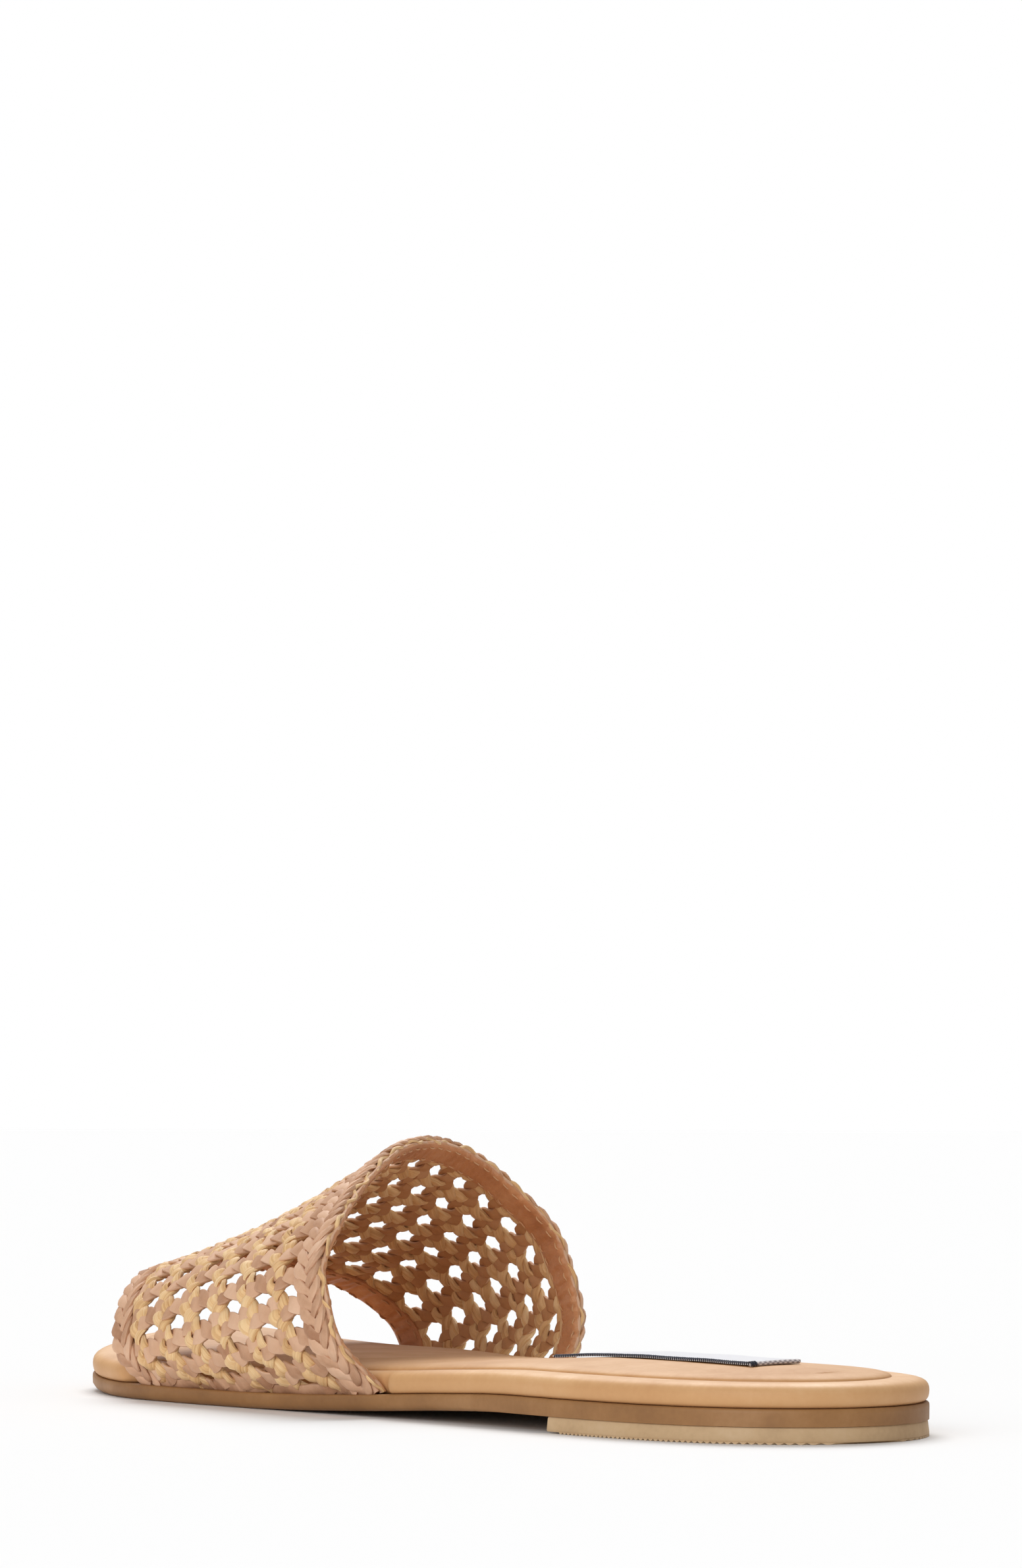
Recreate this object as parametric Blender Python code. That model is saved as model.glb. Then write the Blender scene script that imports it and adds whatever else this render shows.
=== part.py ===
"""Woven slide sandal, left shoe: a flat sole on a low heel lift, a padded footbed and a woven band.

Metres, +Z up. X runs from the heel to the toe and Y to the shoe's left, its lateral side. Every piece
is drawn on the last's own axes, with X = 0 at the back of the heel, and the whole shoe hangs from one
empty that brings the middle of its base to the origin.
"""
from __future__ import annotations

from bisect import bisect_right
from math import acos, ceil, cos, floor, pi
from typing import Callable, NamedTuple

import bmesh
import bpy
from mathutils import Vector
from mathutils.geometry import delaunay_2d_cdt

MM = 0.001
GAP = 0.3 * MM                 # room left between pieces that touch

# Sole
LENGTH = 250.0 * MM            # outsole, heel to toe
BALL_WIDTH = 88.5 * MM         # widest place of the forefoot
HEEL_WIDTH = 65.0 * MM
LIFT = 3.1 * MM                # height of the heel lift
LIFT_LENGTH = 55.0 * MM
LIFT_FLARE = 0.5 * MM          # how much narrower the lift is at its top
OUTSOLE = 3.3 * MM
OUTSOLE_ROUND = 1.7 * MM       # rounding of the outsole's lower edge, ahead of the heel
TOE_SPRING = 3.8 * MM
FOOTBED = 4.2 * MM
FOOTBED_ROUND = 3.0 * MM
PAD = 0.8 * MM
PAD_MARGIN = 7.0 * MM          # from the sole's edge to the pad
PAD_ROUND = 2.0 * MM
LABEL = 0.5 * MM
LABEL_LENGTH = 65.6 * MM
LABEL_WIDTH = 12.0 * MM
LABEL_FROM_HEEL = 59.2 * MM    # to the label's middle

# Band
WALL = 1.2 * MM                # bare wall of the weave, without the strips' relief
RELIEF = 0.75 * MM             # how far a strip on top stands out, on either face
FOOT_MARGIN = 0.4 * MM         # from the outsole's edge to the band's outer face
FOOT_ROOM = 0.4 * MM           # from the band's inner face to the footbed's side
THROAT_RISE = 47.2 * MM        # height of the throat's crown over the band's feet
FRONT_RISE = 29.7 * MM
THROAT_LEAN = 0.48             # how far forward the throat leans, per unit of height
FRONT_LEAN = 0.76
BORDER = 7.8 * MM              # braided edge
COLUMNS = 6                    # gaps across the weave, front to throat
COLUMN_SHIFT = 0.9 * MM        # how far the columns stand toward the throat, at the middle row
COLUMN_SLANT = -0.04           # the same, per length toward the medial foot
BORDER_REACH = 0.85            # share of the border that no gap cuts into
ROW_PITCH = 7.4 * MM
STRAW_WIDTH = 2.3 * MM         # strips over the foot
THONG_WIDTH = 1.8 * MM         # strips along the foot
GAP_CORNER = 0.38              # share of a gap's half size cut off at its corners
BRAID_PITCH = ROW_PITCH / 2
LEAST_MARGIN = 0.9 * MM        # solid left between a gap and the band's foot
SEAT_END = 4.0 * MM            # length over which the footbed's side steps in beside the band

SOLE_STEPS = 40                # points along each side of the sole


class OutlineRow(NamedTuple):
    """The sole's outline: shares of LENGTH and of the width there."""

    along: float
    lateral: float
    medial: float
    ball: float                # 0 takes HEEL_WIDTH, 1 takes BALL_WIDTH


OUTLINE = (
    OutlineRow(0.00, 0.000, 0.000, 0.0),
    OutlineRow(0.02, 0.228, 0.244, 0.0),
    OutlineRow(0.06, 0.374, 0.392, 0.0),
    OutlineRow(0.12, 0.466, 0.478, 0.0),
    OutlineRow(0.20, 0.512, 0.490, 0.0),
    OutlineRow(0.30, 0.494, 0.416, 0.2),
    OutlineRow(0.40, 0.472, 0.346, 0.5),
    OutlineRow(0.50, 0.470, 0.340, 0.8),
    OutlineRow(0.60, 0.482, 0.384, 1.0),
    OutlineRow(0.68, 0.511, 0.440, 1.0),
    OutlineRow(0.76, 0.526, 0.471, 1.0),
    OutlineRow(0.84, 0.487, 0.447, 1.0),
    OutlineRow(0.92, 0.379, 0.371, 1.0),
    OutlineRow(0.97, 0.223, 0.258, 1.0),
    OutlineRow(1.00, -0.024, 0.024, 1.0),
)


class ProfileRow(NamedTuple):
    """The underside seen from the side: height as shares of LIFT and TOE_SPRING."""

    along: float
    lift: float
    spring: float


PROFILE = (
    ProfileRow(0.00, 1.00, 0.00),
    ProfileRow(0.27, 1.00, 0.00),
    ProfileRow(0.36, 0.76, 0.00),
    ProfileRow(0.46, 0.36, 0.00),
    ProfileRow(0.56, 0.08, 0.00),
    ProfileRow(0.64, 0.00, 0.00),
    ProfileRow(0.80, 0.00, 0.00),
    ProfileRow(0.88, 0.00, 0.12),
    ProfileRow(0.95, 0.00, 0.50),
    ProfileRow(1.00, 0.00, 1.00),
)


class SectionRow(NamedTuple):
    """The band over the foot, from its lateral foot (0) to its medial one (1).

    `out` is in half spans between the two feet and `up` in the rise of that edge.
    """

    round: float
    throat_out: float
    throat_up: float
    front_out: float
    front_up: float


SECTION = (
    SectionRow(0.000, 1.00, 0.00, 1.00, 0.00),
    SectionRow(0.083, 1.22, 0.21, 1.09, 0.21),
    SectionRow(0.167, 1.23, 0.46, 0.99, 0.50),
    SectionRow(0.250, 1.05, 0.68, 0.79, 0.70),
    SectionRow(0.333, 0.80, 0.82, 0.58, 0.76),
    SectionRow(0.417, 0.50, 0.94, 0.40, 0.79),
    SectionRow(0.500, 0.15, 1.04, 0.25, 0.81),
    SectionRow(0.583, -0.22, 1.07, 0.08, 0.82),
    SectionRow(0.667, -0.65, 1.01, -0.12, 0.78),
    SectionRow(0.750, -1.05, 0.84, -0.39, 0.72),
    SectionRow(0.833, -1.28, 0.57, -0.70, 0.62),
    SectionRow(0.917, -1.26, 0.26, -0.97, 0.35),
    SectionRow(1.000, -1.00, 0.00, -1.00, 0.00),
)


class FootRow(NamedTuple):
    """Where the band's edges meet the sole, as shares of LENGTH."""

    lateral: float
    medial: float
    crown: float               # share of the way round where the weave's middle row lies


FRONT = FootRow(0.755, 0.853, 0.590)
THROAT = FootRow(0.438, 0.566, 0.527)


def curve(xs: list[float], ys: list[float], x: float) -> float:
    """Value at x of the smooth curve through the points, flat where its neighbours turn back."""
    last = len(xs) - 1
    i = min(max(bisect_right(xs, x) - 1, 0), last - 1)

    def rise(k: int) -> float:
        return (ys[k + 1] - ys[k]) / (xs[k + 1] - xs[k])

    def slope(k: int) -> float:
        if k == 0 or k == last:
            return rise(min(k, last - 1))
        before, after = rise(k - 1), rise(k)
        if before * after <= 0:
            return 0.0
        near, far = xs[k] - xs[k - 1], xs[k + 1] - xs[k]
        return (before * far + after * near) / (near + far)

    step = xs[i + 1] - xs[i]
    t = min(max((x - xs[i]) / step, 0.0), 1.0)
    start, end = slope(i) * step, slope(i + 1) * step
    return (ys[i] * (2 * t ** 3 - 3 * t ** 2 + 1) + start * (t ** 3 - 2 * t ** 2 + t)
            + ys[i + 1] * (3 * t ** 2 - 2 * t ** 3) + end * (t ** 3 - t ** 2))


def ease(x: float, start: float, end: float) -> float:
    """0 before start, 1 after end, and smooth between them."""
    t = min(max((x - start) / (end - start), 0.0), 1.0)
    return t * t * (3 - 2 * t)


def mix(a: float, b: float, share: float) -> float:
    return a + (b - a) * share


# The sole's outline is followed by an angle: 0 at the heel, pi at the toe.
OUTLINE_ANGLES = [acos(1 - 2 * row.along) for row in OUTLINE]
LATERAL = [row.lateral * mix(HEEL_WIDTH, BALL_WIDTH, row.ball) for row in OUTLINE]
MEDIAL = [-row.medial * mix(HEEL_WIDTH, BALL_WIDTH, row.ball) for row in OUTLINE]


def along_at(angle: float) -> float:
    return LENGTH * (1 - cos(angle)) / 2


def angle_at(x: float) -> float:
    return acos(min(max(1 - 2 * x / LENGTH, -1.0), 1.0))


def outline_point(angle: float, side: list[float], inset: float) -> tuple[float, float]:
    """A point of the sole's outline on one side, moved inward by inset."""
    small = 0.01
    before, after = max(angle - small, 0.0), min(angle + small, pi)
    tangent = Vector((along_at(after) - along_at(before),
                      curve(OUTLINE_ANGLES, side, after) - curve(OUTLINE_ANGLES, side, before)))
    if angle in (0.0, pi):
        tangent = Vector((0.0, tangent.y))
    tangent.normalize()
    turn = 1.0 if side is LATERAL else -1.0
    inward = Vector((tangent.y, -tangent.x)) * turn
    return (along_at(angle) + inward.x * inset,
            curve(OUTLINE_ANGLES, side, angle) + inward.y * inset)


def edge_y(x: float, side: list[float], inset: float = 0.0) -> float:
    """Y at X of the outline moved squarely inward by inset."""
    step = LENGTH / 100
    y = curve(OUTLINE_ANGLES, side, angle_at(x))
    slope = (curve(OUTLINE_ANGLES, side, angle_at(x + step)) - y) / step
    shift = inset * (1 + slope * slope) ** 0.5
    return y - shift if side is LATERAL else y + shift


def underside(x: float) -> float:
    """Height of the outsole's underside over the floor."""
    stations = [row.along * LENGTH for row in PROFILE]
    heights = [row.lift * LIFT + row.spring * TOE_SPRING for row in PROFILE]
    return curve(stations, heights, x)


def outsole_top(x: float) -> float:
    return underside(x) + OUTSOLE


def footbed_top(x: float) -> float:
    return outsole_top(x) + GAP + FOOTBED


def pad_top(x: float) -> float:
    return footbed_top(x) + GAP + PAD


def seat(side: list[float]) -> tuple[float, float]:
    """Where on one side the footbed's step for the band starts and ends."""
    if side is LATERAL:
        back, front = THROAT.lateral * LENGTH, FRONT.lateral * LENGTH
    else:
        back, front = THROAT.medial * LENGTH, FRONT.medial * LENGTH
    return back - GAP, front + GAP + FRONT_LEAN * FOOTBED


def seat_inset(x: float, side: list[float]) -> float:
    """How far the footbed's side stands in: by the band's thickness where the band is lasted in."""
    band = FOOT_MARGIN + WALL + 2 * RELIEF + FOOT_ROOM
    back, front = seat(side)
    return band * ease(x, back - SEAT_END, back) * (1 - ease(x, front, front + SEAT_END))


def sole_angles(end: float) -> list[float]:
    """Where the sole's rings have points: evenly round the outline, and at the band's seats."""
    angles = [end * k / SOLE_STEPS for k in range(SOLE_STEPS + 1)]
    for side in (LATERAL, MEDIAL):
        back, front = seat(side)
        angles += [angle_at(x) for x in (back - SEAT_END, back, front, front + SEAT_END)]
    return [a for a in sorted(angles) if a <= end]


class Ring(NamedTuple):
    """One level of a piece that follows the sole's outline."""

    inset: Callable[[float, list[float]], float]
    height: Callable[[float], float]


def solid(name: str, verts: list, faces: list, root: bpy.types.Object,
          material: bpy.types.Material, smooth_below: float = 0.6) -> bpy.types.Object:
    """An object from verts and faces, hung from root."""
    mesh = bpy.data.meshes.new(name)
    mesh.from_pydata(verts, [], faces)
    body = bmesh.new()
    body.from_mesh(mesh)
    bmesh.ops.recalc_face_normals(body, faces=body.faces)
    bmesh.ops.triangulate(body, faces=body.faces)
    body.to_mesh(mesh)
    body.free()
    mesh.shade_smooth()
    mesh.set_sharp_from_angle(angle=smooth_below)
    mesh.materials.append(material)
    made = bpy.data.objects.new(name, mesh)
    bpy.context.collection.objects.link(made)
    made.parent = root
    return made


def board(name: str, rings: list[Ring], root: bpy.types.Object, material: bpy.types.Material,
          length: float = LENGTH) -> bpy.types.Object:
    """A closed piece of the sole: rings of the outline joined upward, from the heel to length."""
    whole = length >= LENGTH
    end = pi if whole else angle_at(length)
    angles = sole_angles(end)
    left = angles[1:-1] if whole else angles[1:]
    walk = [(angles[0], LATERAL)] + [(a, LATERAL) for a in left]
    if whole:
        walk.append((pi, LATERAL))
    walk += [(a, MEDIAL) for a in reversed(left)]
    verts, count = [], len(walk)
    for ring in rings:
        for angle, side in walk:
            x, y = outline_point(angle, side, ring.inset(along_at(angle), side))
            verts.append((x, y, ring.height(x)))
    faces = []
    for level in range(len(rings) - 1):
        low, high = level * count, (level + 1) * count
        for k in range(count):
            nxt = (k + 1) % count
            faces.append((low + k, low + nxt, high + nxt, high + k))
    for first in (0, (len(rings) - 1) * count):
        faces.append((first, first + 1, first + count - 1))
        pairs = len(left)
        for k in range(1, pairs):
            faces.append((first + k, first + k + 1, first + count - k - 1, first + count - k))
        if whole:
            faces.append((first + pairs, first + pairs + 1, first + pairs + 2))
    return solid(name, verts, faces, root, material)


def flat(value: float) -> Callable[..., float]:
    return lambda *place: value


class Weave:
    """The band's surface, and the weave laid out on it.

    `across` runs from the front edge (0) to the throat (1), `round` from the lateral foot (0) over
    the crown to the medial foot (1). The weave is drawn flat, in lengths: u from the front edge and
    v from its middle row, growing toward the medial side.
    """

    def __init__(self) -> None:
        self.foot_inset = FOOT_MARGIN + RELIEF + WALL / 2
        self.rounds = [row.round for row in SECTION]
        self.lengths = [self.girth(step / 8) for step in range(9)]
        self.width = (LENGTH * (FRONT.lateral - THROAT.lateral)
                      + LENGTH * (FRONT.medial - THROAT.medial)) / 2
        self.column_pitch = (self.width - 2 * BORDER) / COLUMNS

    def point(self, across: float, share: float) -> Vector:
        """The middle of the wall."""
        left = LENGTH * mix(FRONT.lateral, THROAT.lateral, across)
        right = LENGTH * mix(FRONT.medial, THROAT.medial, across)
        left_y = edge_y(left, LATERAL, self.foot_inset)
        right_y = edge_y(right, MEDIAL, self.foot_inset)
        out = mix(curve(self.rounds, [row.front_out for row in SECTION], share),
                  curve(self.rounds, [row.throat_out for row in SECTION], share), across)
        up = mix(curve(self.rounds, [row.front_up for row in SECTION], share),
                 curve(self.rounds, [row.throat_up for row in SECTION], share), across)
        rise = up * mix(FRONT_RISE, THROAT_RISE, across)
        side = (1 - out) / 2
        foot_x = mix(left, right, min(max(side, 0.0), 1.0))
        foot_z = outsole_top(mix(left, right, share)) + GAP
        return Vector((foot_x + rise * mix(FRONT_LEAN, THROAT_LEAN, across),
                       (left_y + right_y) / 2 + out * (left_y - right_y) / 2,
                       foot_z + rise))

    def girth(self, across: float, steps: int = 48) -> float:
        """Length round the foot at one place across the band."""
        points = [self.point(across, k / steps) for k in range(steps + 1)]
        return sum((b - a).length for a, b in zip(points, points[1:]))

    def length_at(self, across: float) -> float:
        return curve([k / 8 for k in range(9)], self.lengths, across)

    def crown_at(self, across: float) -> float:
        return mix(FRONT.crown, THROAT.crown, across)

    def foot_v(self, u: float, side: int) -> float:
        """v of the band's foot: side -1 is lateral, +1 medial."""
        across = u / self.width
        share = self.crown_at(across) if side < 0 else 1 - self.crown_at(across)
        return side * share * self.length_at(across)

    def column_u(self, column: float, v: float) -> float:
        """u at v of a line of the weave, counted from the front border."""
        return BORDER + column * self.column_pitch + COLUMN_SHIFT + COLUMN_SLANT * v

    def between_borders(self, u: float) -> bool:
        return BORDER * BORDER_REACH <= u <= self.width - BORDER * BORDER_REACH

    def place(self, u: float, v: float, offset: float) -> Vector:
        """The point of the wall at (u, v), offset outward from its middle."""
        across = min(max(u / self.width, 0.0), 1.0)
        share = min(max(self.crown_at(across) + v / self.length_at(across), 0.0), 1.0)
        small = 0.004
        low_a, high_a = max(across - small, 0.0), min(across + small, 1.0)
        low_s, high_s = max(share - small, 0.0), min(share + small, 1.0)
        to_throat = self.point(high_a, share) - self.point(low_a, share)
        to_medial = self.point(across, high_s) - self.point(across, low_s)
        outward = to_throat.cross(to_medial).normalized()
        if share in (0.0, 1.0):
            outward = Vector((outward.x, outward.y, 0.0)).normalized()
        return self.point(across, share) + outward * offset


class Mark(NamedTuple):
    """A point of the flat weave, and its height over the bare wall's face as a share of RELIEF."""

    u: float
    v: float
    height: float


def gap_marks(weave: Weave, column: int, row: float) -> list[Mark]:
    """Corners of the gap between two columns and two rows of strips."""
    middle_v = row * ROW_PITCH
    middle_u = weave.column_u(column + 0.5, middle_v)
    half_u = weave.column_pitch / 2 - STRAW_WIDTH
    half_v = ROW_PITCH / 2 - THONG_WIDTH
    cut_u, cut_v = half_u * (1 - GAP_CORNER), half_v * (1 - GAP_CORNER)
    corners = ((half_u, cut_v), (cut_u, half_v), (-cut_u, half_v), (-half_u, cut_v),
               (-half_u, -cut_v), (-cut_u, -half_v), (cut_u, -half_v), (half_u, -cut_v))
    return [Mark(middle_u + du, middle_v + dv, 0.15) for du, dv in corners]


def knot_marks(weave: Weave, column: int, row: int, ridges: bool) -> list[Mark]:
    """Where two straws cross two thongs: the strip on top of each quarter stands out."""
    v = row * ROW_PITCH
    u = weave.column_u(column, v)
    if not weave.between_borders(u):
        return []
    marks = [Mark(u, v, 0.1)]
    for side_u in (-0.5, 0.5):
        for side_v in (-0.5, 0.5):
            at_u, at_v = u + side_u * STRAW_WIDTH, v + side_v * THONG_WIDTH
            if not ridges:
                marks.append(Mark(at_u, at_v, 0.9))
                continue
            thong = side_u != side_v
            reach_u = 0.34 * STRAW_WIDTH if thong else 0.0
            reach_v = 0.0 if thong else 0.40 * THONG_WIDTH
            marks.append(Mark(at_u - reach_u, at_v - reach_v, 1.0))
            marks.append(Mark(at_u + reach_u, at_v + reach_v, 1.0))
    return marks


def braid_marks(weave: Weave, at_throat: bool, ridges: bool) -> list[Mark]:
    """The braid inside one border: two ranks of leaning strands with a valley between them."""
    def from_edge(distance: float) -> float:
        return weave.width - distance if at_throat else distance

    ranks = ((0.26 * BORDER, 0.0, 1.0), (0.74 * BORDER, 0.5, 1.0))
    if ridges:
        ranks += ((0.50 * BORDER, 0.25, 0.05),)
    marks = []
    for distance, shift, height in ranks:
        u = from_edge(distance)
        first = ceil(weave.foot_v(u, -1) / BRAID_PITCH - shift)
        last = floor(weave.foot_v(u, 1) / BRAID_PITCH - shift)
        step = 1 if ridges else 2
        marks += [Mark(u, (k + shift) * BRAID_PITCH, height) for k in range(first, last + 1, step)]
    return marks


def border_loop(weave: Weave) -> list[Mark]:
    """The band's own outline in the flat: front edge, medial foot, throat, lateral foot."""
    def edge(u: float) -> list[Mark]:
        low, high = weave.foot_v(u, -1), weave.foot_v(u, 1)
        first, last = ceil(low / BRAID_PITCH + 0.4), floor(high / BRAID_PITCH - 0.4)
        inner = [Mark(u, k * BRAID_PITCH, 0.3) for k in range(first, last + 1)]
        return [Mark(u, low, 0.0)] + inner + [Mark(u, high, 0.0)]

    stops = [BORDER / 2] + [BORDER + k * weave.column_pitch / 2 for k in range(2 * COLUMNS + 1)]
    stops.append(weave.width - BORDER / 2)
    medial = [Mark(u, weave.foot_v(u, 1), 0.0) for u in stops]
    lateral = [Mark(u, weave.foot_v(u, -1), 0.0) for u in reversed(stops)]
    return edge(0.0) + medial + edge(weave.width)[::-1] + lateral


def inside_foot(weave: Weave, marks: list[Mark], margin: float) -> bool:
    """Whether all the marks lie on the band, margin or more from both its feet."""
    return all(weave.foot_v(m.u, -1) + margin <= m.v <= weave.foot_v(m.u, 1) - margin for m in marks)


def weave_gaps(weave: Weave) -> list[list[Mark]]:
    gaps = []
    most = ceil(max(abs(weave.foot_v(weave.width, side)) for side in (-1, 1)) / ROW_PITCH)
    for column in range(COLUMNS):
        for row in range(-most, most):
            marks = gap_marks(weave, column, row + 0.5)
            if inside_foot(weave, marks, LEAST_MARGIN) and all(weave.between_borders(m.u) for m in marks):
                gaps.append(marks)
    return gaps


def weave_face(weave: Weave, loops: list[list[Mark]], ridges: bool) -> tuple[list[Mark], list]:
    """Marks and triangles of one face of the wall, with its outline and gaps as edges."""
    marks: list[Mark] = []
    edges: list[tuple[int, int]] = []
    owner: list[int] = []
    for number, loop in enumerate(loops):
        first = len(marks)
        marks += loop
        owner += [number] * len(loop)
        edges += [(first + k, first + (k + 1) % len(loop)) for k in range(len(loop))]
    loose = braid_marks(weave, False, ridges) + braid_marks(weave, True, ridges)
    most = ceil(max(abs(weave.foot_v(weave.width, side)) for side in (-1, 1)) / ROW_PITCH)
    for column in range(COLUMNS + 1):
        for row in range(-most, most + 1):
            loose += knot_marks(weave, column, row, ridges)
    loose = [m for m in loose if inside_foot(weave, [m], 2 * LEAST_MARGIN)]
    marks += loose
    owner += [-1] * len(loose)
    flat_points = [Vector((m.u / MM, m.v / MM)) for m in marks]
    points, _, faces, origins, _, _ = delaunay_2d_cdt(flat_points, edges, [], 0, 1e-6)
    source = [ids[0] for ids in origins]
    kept = []
    for face in faces:
        corners = [source[k] for k in face]
        owners = {owner[k] for k in corners}
        if len(owners) == 1 and owners != {-1}:
            if owners != {0} or outside(weave, [marks[k] for k in corners]):
                continue
        kept.append(corners)
    return marks, kept


def outside(weave: Weave, corners: list[Mark]) -> bool:
    """Whether a triangle between points of the band's outline lies beyond its foot."""
    u = sum(m.u for m in corners) / 3
    v = sum(m.v for m in corners) / 3
    return not weave.foot_v(u, -1) < v < weave.foot_v(u, 1)


def band_solid(name: str, root: bpy.types.Object,
               material: bpy.types.Material) -> bpy.types.Object:
    """The woven upper: one wall, with the strips raised on both faces and the gaps cut."""
    weave = Weave()
    loops = [border_loop(weave)] + weave_gaps(weave)
    shared = sum(len(loop) for loop in loops)
    verts, faces = [], []
    first_of = []
    for sign, ridges in ((1.0, True), (-1.0, False)):
        marks, triangles = weave_face(weave, loops, ridges)
        first = len(verts)
        first_of.append(first)
        for mark in marks:
            reach = WALL / 2 + RELIEF * mark.height
            verts.append(weave.place(mark.u, mark.v, sign * reach))
        faces += [tuple(first + k for k in corners) for corners in triangles]
    outer, inner = first_of
    start = 0
    for loop in loops:
        for k in range(len(loop)):
            a, b = start + k, start + (k + 1) % len(loop)
            faces.append((outer + a, outer + b, inner + b, inner + a))
        start += len(loop)
    assert start == shared
    return solid(name, verts, faces, root, material, smooth_below=1.0)


def label_solid(name: str, root: bpy.types.Object, material: bpy.types.Material) -> bpy.types.Object:
    """A thin blank label lying on the pad."""
    middle_y = (edge_y(LABEL_FROM_HEEL, LATERAL) + edge_y(LABEL_FROM_HEEL, MEDIAL)) / 2
    steps = 8
    verts = []
    for k in range(steps + 1):
        x = LABEL_FROM_HEEL + LABEL_LENGTH * (k / steps - 0.5)
        base = pad_top(x) + GAP
        for side, height in ((1, 0), (-1, 0), (-1, LABEL), (1, LABEL)):
            verts.append((x, middle_y + side * LABEL_WIDTH / 2, base + height))
    faces = [(0, 1, 2, 3), tuple(4 * steps + k for k in (3, 2, 1, 0))]
    for k in range(steps):
        for side in range(4):
            a, b = 4 * k + side, 4 * k + (side + 1) % 4
            faces.append((a, b, b + 4, a + 4))
    return solid(name, verts, faces, root, material)


def make_material(name: str, colour: tuple[float, float, float],
                  roughness: float) -> bpy.types.Material:
    made = bpy.data.materials.new(name)
    made.use_nodes = True
    shader = made.node_tree.nodes["Principled BSDF"]
    shader.inputs["Base Color"].default_value = (*colour, 1.0)
    shader.inputs["Roughness"].default_value = roughness
    shader.inputs["Metallic"].default_value = 0.0
    return made


def make_outsole(root: bpy.types.Object) -> bpy.types.Object:
    def rounding(x: float, side: list[float] | None = None) -> float:
        return OUTSOLE_ROUND * mix(0.15, 1.0, ease(x, LIFT_LENGTH * 0.9, LIFT_LENGTH * 1.5))

    rings = [
        Ring(rounding, underside),
        Ring(lambda x, side: rounding(x) * 0.35, lambda x: underside(x) + OUTSOLE_ROUND * 0.22),
        Ring(flat(0.0), lambda x: underside(x) + OUTSOLE_ROUND * 0.8),
        Ring(flat(0.0), lambda x: underside(x) + OUTSOLE * 0.90),
        Ring(flat(OUTSOLE * 0.10), outsole_top),
    ]
    return board("outsole", rings, root, make_material("outsole", (0.39, 0.21, 0.09), 0.5))


def make_heel_lift(root: bpy.types.Object) -> bpy.types.Object:
    rings = [
        Ring(flat(0.0), flat(0.0)),
        Ring(flat(LIFT_FLARE), flat(LIFT - GAP)),
    ]
    material = make_material("heel_lift", (0.58, 0.39, 0.20), 0.6)
    return board("heel_lift", rings, root, material, LIFT_LENGTH)


def make_footbed(root: bpy.types.Object) -> bpy.types.Object:
    def base(x: float) -> float:
        return outsole_top(x) + GAP

    def level(share: float) -> Callable[[float], float]:
        return lambda x: base(x) + FOOTBED * share

    def inset(share: float) -> Callable[[float, list[float]], float]:
        return lambda x, side: seat_inset(x, side) + FOOTBED_ROUND * share

    rings = [
        Ring(inset(0.10), base),
        Ring(inset(0.00), level(0.12)),
        Ring(inset(0.00), level(0.58)),
        Ring(inset(0.12), level(0.80)),
        Ring(inset(0.45), level(0.95)),
        Ring(inset(1.00), level(1.00)),
    ]
    return board("footbed", rings, root, make_material("footbed", (0.69, 0.43, 0.21), 0.45))


def make_pad(root: bpy.types.Object) -> bpy.types.Object:
    rings = [
        Ring(flat(PAD_MARGIN), lambda x: footbed_top(x) + GAP),
        Ring(flat(PAD_MARGIN + PAD_ROUND * 0.35), lambda x: footbed_top(x) + GAP + PAD * 0.65),
        Ring(flat(PAD_MARGIN + PAD_ROUND), pad_top),
    ]
    return board("insole_pad", rings, root, make_material("insole_pad", (0.71, 0.45, 0.23), 0.45))


def centre_on_base(root: bpy.types.Object, pieces: list[bpy.types.Object]) -> None:
    """Bring the middle of the shoe's base to the origin."""
    points = [v.co for piece in pieces for v in piece.data.vertices]
    middle = [(min(p[k] for p in points) + max(p[k] for p in points)) / 2 for k in (0, 1)]
    root.location = (-middle[0], -middle[1], -min(p.z for p in points))


def main() -> None:
    for old in list(bpy.data.objects):
        bpy.data.objects.remove(old, do_unlink=True)
    root = bpy.data.objects.new("slide_sandal", None)
    bpy.context.collection.objects.link(root)
    pieces = [
        make_heel_lift(root),
        make_outsole(root),
        make_footbed(root),
        make_pad(root),
        label_solid("label", root, make_material("label", (0.85, 0.84, 0.82), 0.8)),
        band_solid("upper", root, make_material("upper", (0.62, 0.38, 0.24), 0.6)),
    ]
    centre_on_base(root, pieces)


main()
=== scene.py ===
"""Looks of the woven slide sandal: the real strips, braids, bindings, leathers and the studio.

Every length in the tables is in millimetres on the last's axes, with X = 0 at the back of the heel and
Y toward the lateral side. Pieces are made in metres, in the frame's own place.
"""
from __future__ import annotations

import logging
from bisect import bisect_right
from dataclasses import dataclass, field
from enum import Enum
from math import acos, ceil, cos, floor, pi, radians, sin
from typing import Callable, Iterable

import bmesh
import bpy
import numpy as np
from mathutils import Matrix, Vector

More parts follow.
